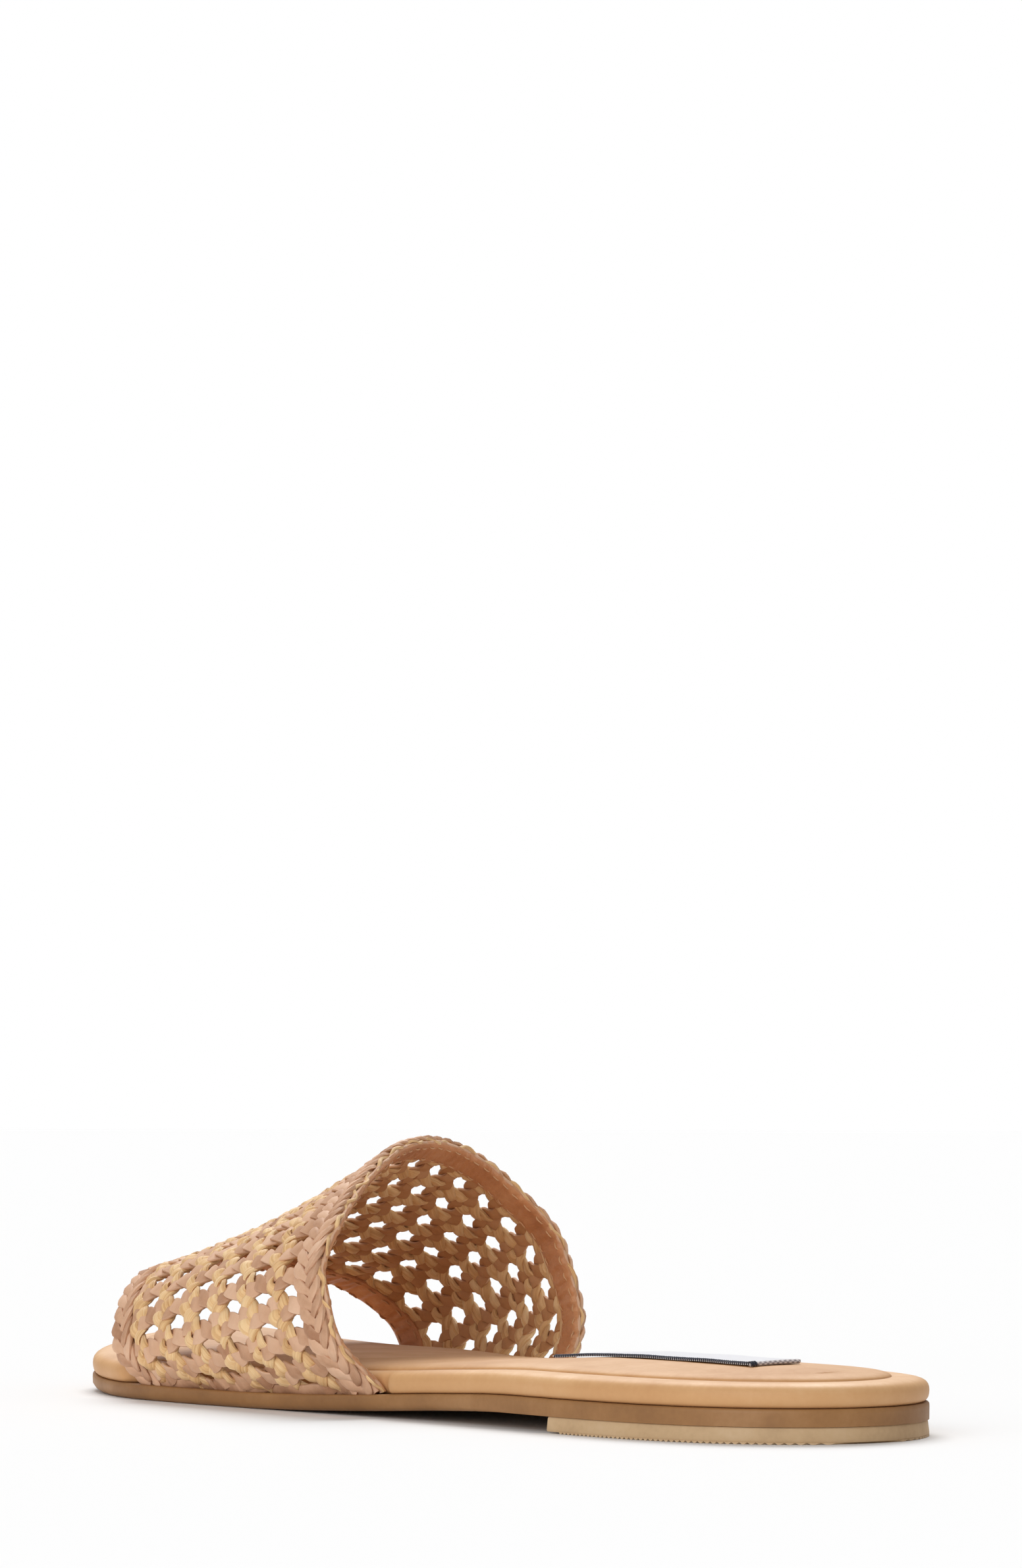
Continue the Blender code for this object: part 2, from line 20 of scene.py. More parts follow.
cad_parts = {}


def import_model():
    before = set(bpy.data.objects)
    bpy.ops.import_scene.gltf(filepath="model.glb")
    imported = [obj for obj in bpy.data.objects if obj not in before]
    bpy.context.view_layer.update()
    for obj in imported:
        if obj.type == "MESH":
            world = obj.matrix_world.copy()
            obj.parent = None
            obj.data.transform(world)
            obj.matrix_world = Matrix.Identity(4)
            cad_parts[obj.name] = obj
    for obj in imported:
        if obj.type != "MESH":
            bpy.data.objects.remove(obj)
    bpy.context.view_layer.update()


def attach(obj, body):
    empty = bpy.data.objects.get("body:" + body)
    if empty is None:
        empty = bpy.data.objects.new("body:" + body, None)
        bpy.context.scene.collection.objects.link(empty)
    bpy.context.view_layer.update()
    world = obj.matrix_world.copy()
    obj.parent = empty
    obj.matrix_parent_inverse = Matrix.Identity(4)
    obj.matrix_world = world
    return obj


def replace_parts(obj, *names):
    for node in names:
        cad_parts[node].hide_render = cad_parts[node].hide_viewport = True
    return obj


LOG = logging.getLogger("slide_sandal")
MM = 0.001
BODY = "root"
TINY = 1e-12
GOLDEN = 0.618
# Corners nearer than this, in metres, are one.
WELD = 2e-6
# The folds round a creased strip, and how fast each drifts along it, in radians a step.
FOLDS = ((5, 0.13), (8, -0.09), (3, 0.21))

Colour = tuple[float, float, float, float]


class Side(Enum):
    """The two long sides of the shoe."""

    LATERAL = 1
    MEDIAL = -1


class Edge(Enum):
    """The two free edges of the band."""

    FRONT = 0
    THROAT = 1


def smooth_curve(xs: list[float], ys: list[float], x: float) -> float:
    """Value at x of the smooth curve through the points, flat where its neighbours turn back.

    Args:
        xs: Stations, rising.
        ys: Values at the stations.
        x: Where to read the curve.

    Returns:
        The value there.
    """
    last = len(xs) - 1
    i = min(max(bisect_right(xs, x) - 1, 0), last - 1)

    def rise(k: int) -> float:
        """Slope of one stretch."""
        return (ys[k + 1] - ys[k]) / (xs[k + 1] - xs[k])

    def slope(k: int) -> float:
        """Slope of the curve at one point."""
        if k in (0, last):
            return rise(min(k, last - 1))
        before, after = rise(k - 1), rise(k)
        if before * after <= 0:
            return 0.0
        near, far = xs[k] - xs[k - 1], xs[k + 1] - xs[k]
        return (before * far + after * near) / (near + far)

    step = xs[i + 1] - xs[i]
    t = min(max((x - xs[i]) / step, 0.0), 1.0)
    start, end = slope(i) * step, slope(i + 1) * step
    return (ys[i] * (2 * t ** 3 - 3 * t ** 2 + 1) + start * (t ** 3 - 2 * t ** 2 + t)
            + ys[i + 1] * (3 * t ** 2 - 2 * t ** 3) + end * (t ** 3 - t ** 2))


def mix(a: float, b: float, share: float) -> float:
    """The value a share of the way from a to b."""
    return a + (b - a) * share


def ease(x: float, start: float, end: float) -> float:
    """0 before start, 1 after end, and smooth between them."""
    t = min(max((x - start) / (end - start), 0.0), 1.0)
    return t * t * (3 - 2 * t)


def own_tint(seed: float) -> float:
    """A strip's own shade from 0 to 1, spread evenly over many strips."""
    return (seed * GOLDEN) % 1.0


def unit(rows: np.ndarray) -> np.ndarray:
    """Directions made one long, along their last axis."""
    return rows / (np.linalg.norm(rows, axis=-1, keepdims=True) + TINY)


def srgb(red: int, green: int, blue: int) -> Colour:
    """A colour as it is seen on screen, made linear."""
    parts = [(v / 255 / 12.92) if v <= 10 else ((v / 255 + 0.055) / 1.055) ** 2.4
             for v in (red, green, blue)]
    return (parts[0], parts[1], parts[2], 1.0)


@dataclass
class SoleForm:
    """The sole's outline, its side view and its layers, as in the solids.

    An outline row holds the share of the length, the lateral and the medial half-width as shares of
    the width there, and how far that width has gone from the heel's to the ball's. A profile row holds
    the share of the length, and the shares of the heel lift and the toe spring under the sole.
    """

    length: float = 250.0
    ball_width: float = 88.5
    heel_width: float = 65.0
    lift: float = 3.1
    lift_length: float = 55.0
    outsole: float = 3.3
    toe_spring: float = 3.8
    footbed: float = 4.2
    pad: float = 0.8
    gap: float = 0.3
    shift_y: float = 2.77
    outline: tuple[tuple[float, float, float, float], ...] = (
        (0.00, 0.000, 0.000, 0.0), (0.02, 0.228, 0.244, 0.0), (0.06, 0.374, 0.392, 0.0),
        (0.12, 0.466, 0.478, 0.0), (0.20, 0.512, 0.490, 0.0), (0.30, 0.494, 0.416, 0.2),
        (0.40, 0.472, 0.346, 0.5), (0.50, 0.470, 0.340, 0.8), (0.60, 0.482, 0.384, 1.0),
        (0.68, 0.511, 0.440, 1.0), (0.76, 0.526, 0.471, 1.0), (0.84, 0.487, 0.447, 1.0),
        (0.92, 0.379, 0.371, 1.0), (0.97, 0.223, 0.258, 1.0), (1.00, -0.024, 0.024, 1.0))
    profile: tuple[tuple[float, float, float], ...] = (
        (0.00, 1.00, 0.00), (0.27, 1.00, 0.00), (0.36, 0.76, 0.00), (0.46, 0.36, 0.00),
        (0.56, 0.08, 0.00), (0.64, 0.00, 0.00), (0.80, 0.00, 0.00), (0.88, 0.00, 0.12),
        (0.95, 0.00, 0.50), (1.00, 0.00, 1.00))

    def __post_init__(self) -> None:
        """Works the tables out in millimetres once."""
        self.angles = [acos(1 - 2 * row[0]) for row in self.outline]
        widths = [mix(self.heel_width, self.ball_width, row[3]) for row in self.outline]
        self.sides = {
            Side.LATERAL: [row[1] * w for row, w in zip(self.outline, widths)],
            Side.MEDIAL: [-row[2] * w for row, w in zip(self.outline, widths)]}
        self.stations = [row[0] * self.length for row in self.profile]
        self.heights = [row[1] * self.lift + row[2] * self.toe_spring for row in self.profile]

    def along_at(self, angle: float) -> float:
        """X of an angle round the outline, 0 at the heel and pi at the toe."""
        return self.length * (1 - cos(angle)) / 2

    def angle_at(self, x: float) -> float:
        """The angle whose X this is."""
        return acos(min(max(1 - 2 * x / self.length, -1.0), 1.0))

    def edge_point(self, angle: float, side: Side, inset: float) -> tuple[float, float]:
        """A point of the outline on one side, moved inward by inset."""
        table, small = self.sides[side], 0.01
        before, after = max(angle - small, 0.0), min(angle + small, pi)
        tangent = Vector((self.along_at(after) - self.along_at(before),
                          smooth_curve(self.angles, table, after)
                          - smooth_curve(self.angles, table, before)))
        if angle in (0.0, pi):
            tangent.x = 0.0
        tangent.normalize()
        inward = Vector((tangent.y, -tangent.x)) * side.value
        return (self.along_at(angle) + inward.x * inset,
                smooth_curve(self.angles, table, angle) + inward.y * inset)

    def edge_y(self, x: float, side: Side, inset: float = 0.0) -> float:
        """Y at X of the outline moved squarely inward by inset."""
        step = self.length / 100
        table = self.sides[side]
        y = smooth_curve(self.angles, table, self.angle_at(x))
        slope = (smooth_curve(self.angles, table, self.angle_at(x + step)) - y) / step
        return y - side.value * inset * (1 + slope * slope) ** 0.5

    def underside(self, x: float) -> float:
        """Height of the outsole's underside over the floor."""
        return smooth_curve(self.stations, self.heights, x)

    def outsole_top(self, x: float) -> float:
        """Height of the crease between the outsole and the footbed."""
        return self.underside(x) + self.outsole

    def footbed_top(self, x: float) -> float:
        """Height of the footbed's flat top."""
        return self.outsole_top(x) + self.gap + self.footbed

    def pad_top(self, x: float) -> float:
        """Height of the cushion's top."""
        return self.footbed_top(x) + self.gap + self.pad

    def placed(self, x: float, y: float, z: float) -> Vector:
        """A point of the last's axes, in the frame's place and in metres."""
        return Vector((x - self.length / 2, y - self.shift_y, z)) * MM


@dataclass
class BandForm:
    """The band's surface as in the solid: a flat (u, v) weave laid over the foot.

    u runs from the front edge to the throat and v from the crown toward the medial foot. The front and
    throat rows hold the lateral and the medial foot as shares of the length, and the crown as a share
    of the way round. A section row holds the share of the way round, then how far out and how high the
    throat is, then the same of the front edge.
    """

    sole: SoleForm
    wall: float = 1.2
    relief: float = 0.75
    foot_margin: float = 0.4
    throat_rise: float = 47.2
    front_rise: float = 29.7
    throat_lean: float = 0.48
    front_lean: float = 0.76
    border: float = 7.8
    columns: int = 6
    column_shift: float = 0.9
    column_slant: float = -0.04
    row_pitch: float = 7.4
    front: tuple[float, float, float] = (0.755, 0.853, 0.590)
    throat: tuple[float, float, float] = (0.438, 0.566, 0.527)
    section: tuple[tuple[float, float, float, float, float], ...] = (
        (0.000, 1.00, 0.00, 1.00, 0.00), (0.083, 1.22, 0.21, 1.09, 0.21),
        (0.167, 1.23, 0.46, 0.99, 0.50), (0.250, 1.05, 0.68, 0.79, 0.70),
        (0.333, 0.80, 0.82, 0.58, 0.76), (0.417, 0.50, 0.94, 0.40, 0.79),
        (0.500, 0.15, 1.04, 0.25, 0.81), (0.583, -0.22, 1.07, 0.08, 0.82),
        (0.667, -0.65, 1.01, -0.12, 0.78), (0.750, -1.05, 0.84, -0.39, 0.72),
        (0.833, -1.28, 0.57, -0.70, 0.62), (0.917, -1.26, 0.26, -0.97, 0.35),
        (1.000, -1.00, 0.00, -1.00, 0.00))
    foot_upright: float = 0.3
    steps_across: int = 32
    steps_round: int = 240

    def __post_init__(self) -> None:
        """Samples the surface once, so that strips can be laid on it quickly."""
        self.rounds = [row[0] for row in self.section]
        self.width = self.sole.length * ((self.front[0] - self.throat[0])
                                         + (self.front[1] - self.throat[1])) / 2
        self.column_pitch = (self.width - 2 * self.border) / self.columns
        places = np.array([[tuple(self.point(a / self.steps_across, r / self.steps_round))
                            for r in range(self.steps_round + 1)]
                           for a in range(self.steps_across + 1)])
        outward = unit(np.cross(np.gradient(places, axis=0), np.gradient(places, axis=1)))
        for end in (0, -1):
            outward[:, end, 2] *= self.foot_upright
        self.places, self.outward = places, unit(outward)
        self.girths = np.linalg.norm(np.diff(places, axis=1), axis=2).sum(axis=1)

    def point(self, across: float, share: float) -> tuple[float, float, float]:
        """The middle of the wall, on the last's axes."""
        length = self.sole.length
        left = length * mix(self.front[0], self.throat[0], across)
        right = length * mix(self.front[1], self.throat[1], across)
        inset = self.foot_margin + self.relief + self.wall / 2
        left_y = self.sole.edge_y(left, Side.LATERAL, inset)
        right_y = self.sole.edge_y(right, Side.MEDIAL, inset)

        def read(column: int) -> float:
            """One column of the section's table."""
            return smooth_curve(self.rounds, [row[column] for row in self.section], share)

        out = mix(read(3), read(1), across)
        rise = mix(read(4), read(2), across) * mix(self.front_rise, self.throat_rise, across)
        foot_x = mix(left, right, min(max((1 - out) / 2, 0.0), 1.0))
        foot_z = self.sole.outsole_top(mix(left, right, share)) + self.sole.gap
        return (foot_x + rise * mix(self.front_lean, self.throat_lean, across),
                (left_y + right_y) / 2 + out * (left_y - right_y) / 2, foot_z + rise)

    def girth_at(self, u: np.ndarray) -> np.ndarray:
        """Length round the foot at u."""
        stops = np.linspace(0, self.width, self.steps_across + 1)
        return np.interp(u, stops, self.girths)

    def crown_at(self, u: np.ndarray) -> np.ndarray:
        """Share of the way round where v is 0."""
        return self.front[2] + (self.throat[2] - self.front[2]) * np.clip(u / self.width, 0, 1)

    def foot_v(self, u: float, side: Side) -> float:
        """v of the band's foot on one side."""
        crown = float(self.crown_at(np.array(u)))
        girth = float(self.girth_at(np.array(u)))
        return -crown * girth if side is Side.LATERAL else (1 - crown) * girth

    def column_u(self, column: float, v: float) -> float:
        """u at v of a line of the weave, counted from the front border."""
        return self.border + column * self.column_pitch + self.column_shift + self.column_slant * v

    def column_of(self, u: float, v: float) -> float:
        """Which line of the weave (u, v) lies on."""
        return (u - self.border - self.column_shift - self.column_slant * v) / self.column_pitch

    def laid(self, u: np.ndarray, v: np.ndarray) -> tuple[np.ndarray, np.ndarray]:
        """Points of the wall's middle and the outward directions there.

        Args:
            u: Lengths from the front edge.
            v: Lengths from the crown.

        Returns:
            Points on the last's axes and unit directions, each with a last axis of three.
        """
        share = self.crown_at(u) + v / self.girth_at(u)
        a = np.clip(u / self.width, 0, 1) * self.steps_across
        r = np.clip(share, -0.02, 1.02) * self.steps_round
        a0 = np.minimum(a.astype(int), self.steps_across - 1)
        r0 = np.clip(r.astype(int), 0, self.steps_round - 1)
        fa, fr = (a - a0)[..., None], (r - r0)[..., None]

        def blend(table: np.ndarray) -> np.ndarray:
            """One table read between its four nearest samples."""
            return ((table[a0, r0] * (1 - fa) + table[a0 + 1, r0] * fa) * (1 - fr)
                    + (table[a0, r0 + 1] * (1 - fa) + table[a0 + 1, r0 + 1] * fa) * fr)

        return blend(self.places), unit(blend(self.outward))


class Workbench:
    """Makes pieces from grids that are bent to their place with bmesh."""

    def __init__(self, sole: SoleForm) -> None:
        """Keeps the sole, which knows where the last's axes lie in the frame.

        Args:
            sole: The sole's form.
        """
        self.shift = np.array([sole.length / 2, sole.shift_y, 0.0])

    def lay_grid(self, body: bmesh.types.BMesh, places: np.ndarray, along: np.ndarray,
                 across: np.ndarray, tint: float = 0.5) -> None:
        """Adds a grid of faces, bent so that its rows and columns lie on places.

        Args:
            body: The mesh to add to.
            places: Points on the last's axes, rows by columns by three.
            along: The texture's V at each row, in millimetres.
            across: The texture's U at each column, in millimetres.
            tint: The strip's own shade, from 0 to 1.
        """
        rows, columns = places.shape[:2]
        layer = body.loops.layers.uv.verify()
        shade = body.verts.layers.float.get("tint") or body.verts.layers.float.new("tint")
        made = bmesh.ops.create_grid(body, x_segments=rows - 1, y_segments=columns - 1,
                                     size=1.0)["verts"]
        seats = {}
        for vert in made:
            seats[vert] = (round((vert.co.x + 1) * (rows - 1) / 2),
                           round((vert.co.y + 1) * (columns - 1) / 2))
        for face in {f for vert in made for f in vert.link_faces}:
            for loop in face.loops:
                i, j = seats[loop.vert]
                loop[layer].uv = (across[j], along[i])
        metres = (places - self.shift) * MM
        for vert, (i, j) in seats.items():
            vert.co = metres[i, j]
            vert[shade] = tint

    def finish(self, body: bmesh.types.BMesh, name: str, material: bpy.types.Material,
               slot: str, sharp: float = 0.9) -> bpy.types.Object:
        """Closes seams and ends, turns the faces outward and makes the piece.

        Args:
            body: The mesh, which is freed.
            name: The piece's name.
            material: Its finish.
            slot: The record's material slot; not used.
            sharp: Angle in radians above which an edge stays crisp.

        Returns:
            The piece, riding on the shoe.
        """
        bmesh.ops.remove_doubles(body, verts=body.verts, dist=WELD)
        bmesh.ops.dissolve_degenerate(body, edges=body.edges, dist=WELD / 2)
        open_edges = [e for e in body.edges if e.is_boundary]
        if open_edges:
            bmesh.ops.holes_fill(body, edges=open_edges, sides=0)
        bmesh.ops.recalc_face_normals(body, faces=body.faces)
        mesh = bpy.data.meshes.new(name)
        body.to_mesh(mesh)
        body.free()
        mesh.shade_smooth()
        mesh.set_sharp_from_angle(angle=sharp)
        mesh.materials.append(material)
        piece = bpy.data.objects.new(name, mesh)
        bpy.context.scene.collection.objects.link(piece)
        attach(piece, BODY)
        LOG.info("%s: %d faces", name, len(mesh.polygons))
        return piece


@dataclass
class Strand:
    """One flat strip of the weave, wound along a path on the band."""

    band: BandForm
    width: float
    thickness: float
    ring: int = 10
    squareness: float = 0.75
    creases: float = 0.0

    def tube(self, u: np.ndarray, v: np.ndarray, height: np.ndarray, swell: np.ndarray,
             roll: np.ndarray | None = None, seed: float = 0.0) -> np.ndarray:
        """The strip's skin as rows of rings.

        Args:
            u: The path's lengths from the front edge.
            v: The path's lengths from the crown.
            height: How far the strip's middle stands out from the wall's middle.
            swell: The strip's width at each step, as a share of its nominal width.
            roll: How far the strip turns about its own line, in radians.
            seed: Sets this strip's own unevenness.

        Returns:
            Points, rows by ring by three, with the first column repeated at the end.
        """
        centre, outward = self.band.laid(u, v)
        centre = centre + outward * height[:, None]
        line = unit(np.gradient(centre, axis=0))
        sideways = unit(np.cross(outward, line))
        up = np.cross(line, sideways)
        if roll is not None:
            turned = sideways * np.cos(roll)[:, None] + up * np.sin(roll)[:, None]
            up = up * np.cos(roll)[:, None] - sideways * np.sin(roll)[:, None]
            sideways = turned
        theta = np.linspace(0, 2 * pi, self.ring + 1)
        reach = np.sign(np.cos(theta)) * np.abs(np.cos(theta)) ** self.squareness
        lift = np.sign(np.sin(theta)) * np.abs(np.sin(theta)) ** self.squareness
        steps = np.arange(len(u))
        uneven = np.ones((len(u), self.ring + 1))
        if self.creases:
            rng = np.random.default_rng(int(seed * 1000) + 7)
            phase = rng.uniform(0, 2 * pi, len(FOLDS))
            for k, (folds, drift) in enumerate(FOLDS):
                uneven += self.creases / (k + 1) * np.sin(
                    folds * theta[None, :] + phase[k] + drift * steps[:, None])
        half_w = (self.width / 2 * swell)[:, None] * uneven
        half_t = (self.thickness / 2 / np.sqrt(swell))[:, None] * uneven
        skin = (centre[:, None, :] + sideways[:, None, :] * (half_w * reach)[..., None]
                + up[:, None, :] * (half_t * lift)[..., None])
        skin[:, -1] = skin[:, 0]
        return skin

    def girths(self) -> np.ndarray:
        """The texture's U round the strip, in millimetres."""
        return np.linspace(0, 2 * (self.width + self.thickness), self.ring + 1)


def feet(band: BandForm, us: Iterable[float]) -> tuple[np.ndarray, np.ndarray]:
    """v of the lateral and of the medial foot at each u."""
    return (np.array([band.foot_v(float(u), Side.LATERAL) for u in us]),
            np.array([band.foot_v(float(u), Side.MEDIAL) for u in us]))


def waved(stops: np.ndarray, values: np.ndarray, at: np.ndarray) -> np.ndarray:
    """Values read between stops on a cosine, so that a strip rolls over and under."""
    k = np.clip(np.searchsorted(stops, at, side="right") - 1, 0, len(stops) - 2)
    t = np.clip((at - stops[k]) / (stops[k + 1] - stops[k]), 0, 1)
    t = (1 - np.cos(pi * t)) / 2
    return values[k] * (1 - t) + values[k + 1] * t


@dataclass
class OpenWeave:
    """The pairs of straws over the foot and the pairs of leather thongs along it.

    At each knot two straws and two thongs cross in a plain weave, and each pair crosses itself between
    knots, which leaves the rounded gaps.
    """

    band: BandForm
    bench: Workbench
    straw_width: float = 3.1
    straw_thickness: float = 1.15
    straw_apart: float = 1.6
    thong_width: float = 3.25
    thong_thickness: float = 0.72
    thong_apart: float = 1.25
    lift: float = 0.52
    tuck: float = 1.6
    sunk: float = 0.55
    covered: float = 7.4
    cover_fade: float = 2.6
    pressed: float = 0.35
    straw_margin: float = 6.0
    foot_fade: float = 3.0
    foot_depth: float = 0.75
    foot_clear: float = 0.9
    past_foot: float = 0.15
    side_hold: float = 1.45
    steps_per_row: int = 14

    def settled(self, u: np.ndarray, rise: np.ndarray) -> np.ndarray:
        """Heights of a strip's middle, pressed down where an edge braid lies over it."""
        inside = np.minimum(u, self.band.width - u)
        free = np.clip((inside - self.covered) / self.cover_fade, 0, 1)
        free = free * free * (3 - 2 * free)
        held = self.pressed + (1 - self.pressed) * free
        return rise * self.lift * held - self.sunk * (1 - free)

    def side_of(self, place: np.ndarray, pair: int) -> np.ndarray:
        """Which side of its pair a strip is on: it changes sides between two knots."""
        return pair * np.clip(self.side_hold * np.cos(pi * place), -1, 1)

    def heights(self, low: int, high: int, pair: int, near: float, sign: float
                ) -> tuple[np.ndarray, np.ndarray]:
        """Stops and heights of one strip from knot low to knot high.

        Args:
            low: The first knot.
            high: The last knot.
            pair: 1 or -1, the strip's place in its pair at knot 0.
            near: Distance of a crossing from its knot, in pitches.
            sign: 1 where the strip first goes over on its own side, else -1.

        Returns:
            Stops in pitches, and heights from -1 to 1.
        """
        stops, values = [], []
        for knot in range(low, high + 1):
            g = pair * (1 if knot % 2 == 0 else -1) * sign
            stops += [knot - 0.5, knot - near, knot + near]
            values += [-g, g, -g]
        stops.append(high + 0.5)
        values.append(g)
        return np.array(stops), np.array(values, float)

    def straws(self, material: bpy.types.Material) -> bpy.types.Object:
        """The yellow straws that run over the foot."""
        band, body = self.band, bmesh.new()
        strand = Strand(band, self.straw_width, self.straw_thickness, ring=12, squareness=0.85,
                        creases=0.055)
        near = self.thong_apart / band.row_pitch
        for column in range(band.columns + 1):
            for pair in (1, -1):
                low = self.foot_stop(column, Side.LATERAL)
                high = self.foot_stop(column, Side.MEDIAL)
                count = ceil((high - low) / band.row_pitch * self.steps_per_row)
                v = np.linspace(low, high, count + 1)
                place = v / band.row_pitch
                side = self.side_of(place, pair)
                u = band.column_u(column, v) + side * self.straw_apart
                stops, values = self.heights(floor(place[0]), ceil(place[-1]), pair, near, -1.0)
                rise = waved(stops, values, place)
                keep = (u > self.straw_margin) & (u < band.width - self.straw_margin)
                for part in stretches(keep):
                    seed = column + 0.31 * (pair + 1) + 0.01 * part.start
                    wobble = 0.10 * np.sin(place[part] * 2.3 + seed * 5)
                    swell = 0.92 + 0.13 * rise[part] + wobble * 0.6
                    roll = 0.30 * np.sin(place[part] * pi + seed)
                    height = self.settled(u[part], rise[part])
                    foot = np.clip(np.minimum(v[part] - low, high - v[part]) / self.foot_fade, 0, 1)
                    height = height * foot - self.foot_depth * (1 - foot)
                    swell = swell * (0.6 + 0.4 * foot)
                    skin = strand.tube(u[part], v[part], height, swell, roll, seed)
                    self.bench.lay_grid(body, skin, v[part] + seed * 37, strand.girths(),
                                        tint=own_tint(seed))
        return self.bench.finish(body, "straws", material, "upper", sharp=1.2)

    def foot_stop(self, column: float, side: Side) -> float:
        """v where a column's strips end in the crease at the sole."""
        v = 0.0
        for _ in range(12):
            u = min(max(self.band.column_u(column, v), 0.0), self.band.width)
            v = self.band.foot_v(u, side)
        return v + side.value * self.past_foot

    def thongs(self, material: bpy.types.Material) -> bpy.types.Object:
        """The leather strips that run along the foot."""
        band, body = self.band, bmesh.new()
        strand = Strand(band, self.thong_width, self.thong_thickness, ring=12, squareness=0.4)
        near = self.straw_apart / band.column_pitch
        most = ceil(max(-band.foot_v(band.width, Side.LATERAL),
                        band.foot_v(band.width, Side.MEDIAL)) / band.row_pitch)
        for row in range(-most, most + 1):
            for pair in (1, -1):
                low, high = band.border - self.tuck, band.width - band.border + self.tuck
                v0 = row * band.row_pitch
                count = ceil((high - low) / band.column_pitch * self.steps_per_row)
                u = np.linspace(low, high, count + 1)
                place = np.array([band.column_of(x, v0) for x in u])
                v = v0 + self.side_of(place, pair) * self.thong_apart
                stops, values = self.heights(floor(place[0]), ceil(place[-1]), pair, near, 1.0)
                rise = waved(stops, values, place)
                keep = np.array([band.foot_v(x, Side.LATERAL) + self.foot_clear < y
                                 < band.foot_v(x, Side.MEDIAL) - self.foot_clear
                                 for x, y in zip(u, v)])
                for part in stretches(keep):
                    seed = row + 0.37 * pair + 40
                    swell = 0.94 + 0.13 * rise[part] + 0.03 * np.sin(place[part] * 3.1 + seed)
                    roll = 0.16 * np.sin(place[part] * pi + seed)
                    height = self.settled(u[part], rise[part])
                    skin = strand.tube(u[part], v[part], height, swell, roll)
                    self.bench.lay_grid(body, skin, u[part] + seed * 23, strand.girths(),
                                        tint=own_tint(seed))
        return self.bench.finish(body, "thongs", material, "upper", sharp=0.8)


@dataclass
class FootRand:
    """The leather strip woven through the straws' ends along the sole, on one side."""

    band: BandForm
    bench: Workbench
    side: Side
    width: float = 2.7
    thickness: float = 0.8
    up: float = 0.75
    lift: float = 0.34
    end_inset: float = 2.0
    steps: int = 150

    def build(self, material: bpy.types.Material) -> bpy.types.Object:
        """Lays the strip over and under the straws, close to the crease.

        Args:
            material: The leather.

        Returns:
            The strip.
        """
        band, body = self.band, bmesh.new()
        strand = Strand(band, self.width, self.thickness, ring=12, squareness=0.5)
        u = np.linspace(self.end_inset, band.width - self.end_inset, self.steps)
        foot = np.array([band.foot_v(float(x), self.side) for x in u])
        v = foot + self.side.value * (self.up + 0.25 * np.sin(u * 0.8))
        place = np.array([band.column_of(x, y) for x, y in zip(u, v)])
        rise = self.lift * np.cos(pi * place) - 0.1
        swell = 1 + 0.12 * np.cos(pi * place)
        skin = strand.tube(u, v, rise, swell, 0.1 * np.sin(place * 2))
        self.bench.lay_grid(body, skin, u + 300, strand.girths(), tint=0.35)
        name = f"{self.side.name.lower()}_rand"
        return self.bench.finish(body, name, material, "upper", sharp=0.8)


def stretches(keep: np.ndarray, least: int = 5) -> list[slice]:
    """The unbroken stretches of a path that are kept, each of the least number of steps or more."""
    found, start = [], None
    for k, kept in enumerate([*keep, False]):
        if kept and start is None:
            start = k
        if not kept and start is not None:
            if k - start >= least:
                found.append(slice(start, k))
            start = None
    return found


@dataclass
class EdgeBraid:
    """A flat braid of leather strips along one free edge of the band."""

    band: BandForm
    bench: Workbench
    edge: Edge
    strips: int = 7
    leaf_pitch: float = 3.6
    strip_width: float = 2.45
    strip_thickness: float = 1.0
    middle_inset: float = 4.3
    swing: float = 2.75
    lift: float = 0.5
    stand: float = 0.15
    hurry: float = 0.3
    shingle: float = 0.10
    thin: float = 0.68
    bulge: float = 0.40
    end_share: float = 0.12
    steps: int = 30

    def middle(self) -> float:
        """u of the braid's middle line."""
        inset = self.middle_inset
        return inset if self.edge is Edge.FRONT else self.band.width - inset

    def build(self, material: bpy.types.Material, name: str) -> bpy.types.Object:
        """Braids the strips: each rides over from an edge to the middle, then under to the other.

        Args:
            material: The leather.
            name: The piece's name.

        Returns:
            The braid.
        """
        band, body = self.band, bmesh.new()
        strand = Strand(band, self.strip_width, self.strip_thickness, ring=14, squareness=0.75,
                        creases=0.07)
        low = band.foot_v(self.middle(), Side.LATERAL)
        high = band.foot_v(self.middle(), Side.MEDIAL)
        period = self.leaf_pitch * self.strips
        count = ceil((high - low) / period * self.steps)
        v = np.linspace(low, high, count + 1)
        for k in range(self.strips):
            turn = -2 * pi * (v / period + k / self.strips)
            turn = turn - self.hurry * np.cos(2 * turn)
            side = np.cos(turn)
            u = self.middle() + self.swing * side + 0.12 * np.sin(v * 0.53 + k)
            rise = self.stand + self.lift * np.sin(2 * turn)
            swell = self.thin + self.bulge * np.clip(np.sin(2 * turn), 0, 1)
            swell = swell + 0.04 * np.sin(v * 0.7 + 2 * k)
            roll = -self.shingle * side + 0.06 * np.sin(v * 0.9 + k)
            seed = k + 11 * self.edge.value
            skin = strand.tube(u, self.eased(u, v), rise, swell, roll)
            self.bench.lay_grid(body, skin, v + seed * 31, strand.girths(), tint=own_tint(seed))
        return self.bench.finish(body, name, material, "upper", sharp=0.8)

    def eased(self, u: np.ndarray, v: np.ndarray) -> np.ndarray:
        """Keeps the braid's ends on the band where its foot slants."""
        lows, highs = feet(self.band, np.clip(u, 0, None))
        low, high = (ends[0] for ends in feet(self.band, [self.middle()]))
        share = (v - low) / (high - low)
        near = np.minimum(share, 1 - share)
        pull = np.clip(1 - near / self.end_share, 0, 1)
        squared = lows + share * (highs - lows)
        return v + (squared - v) * pull


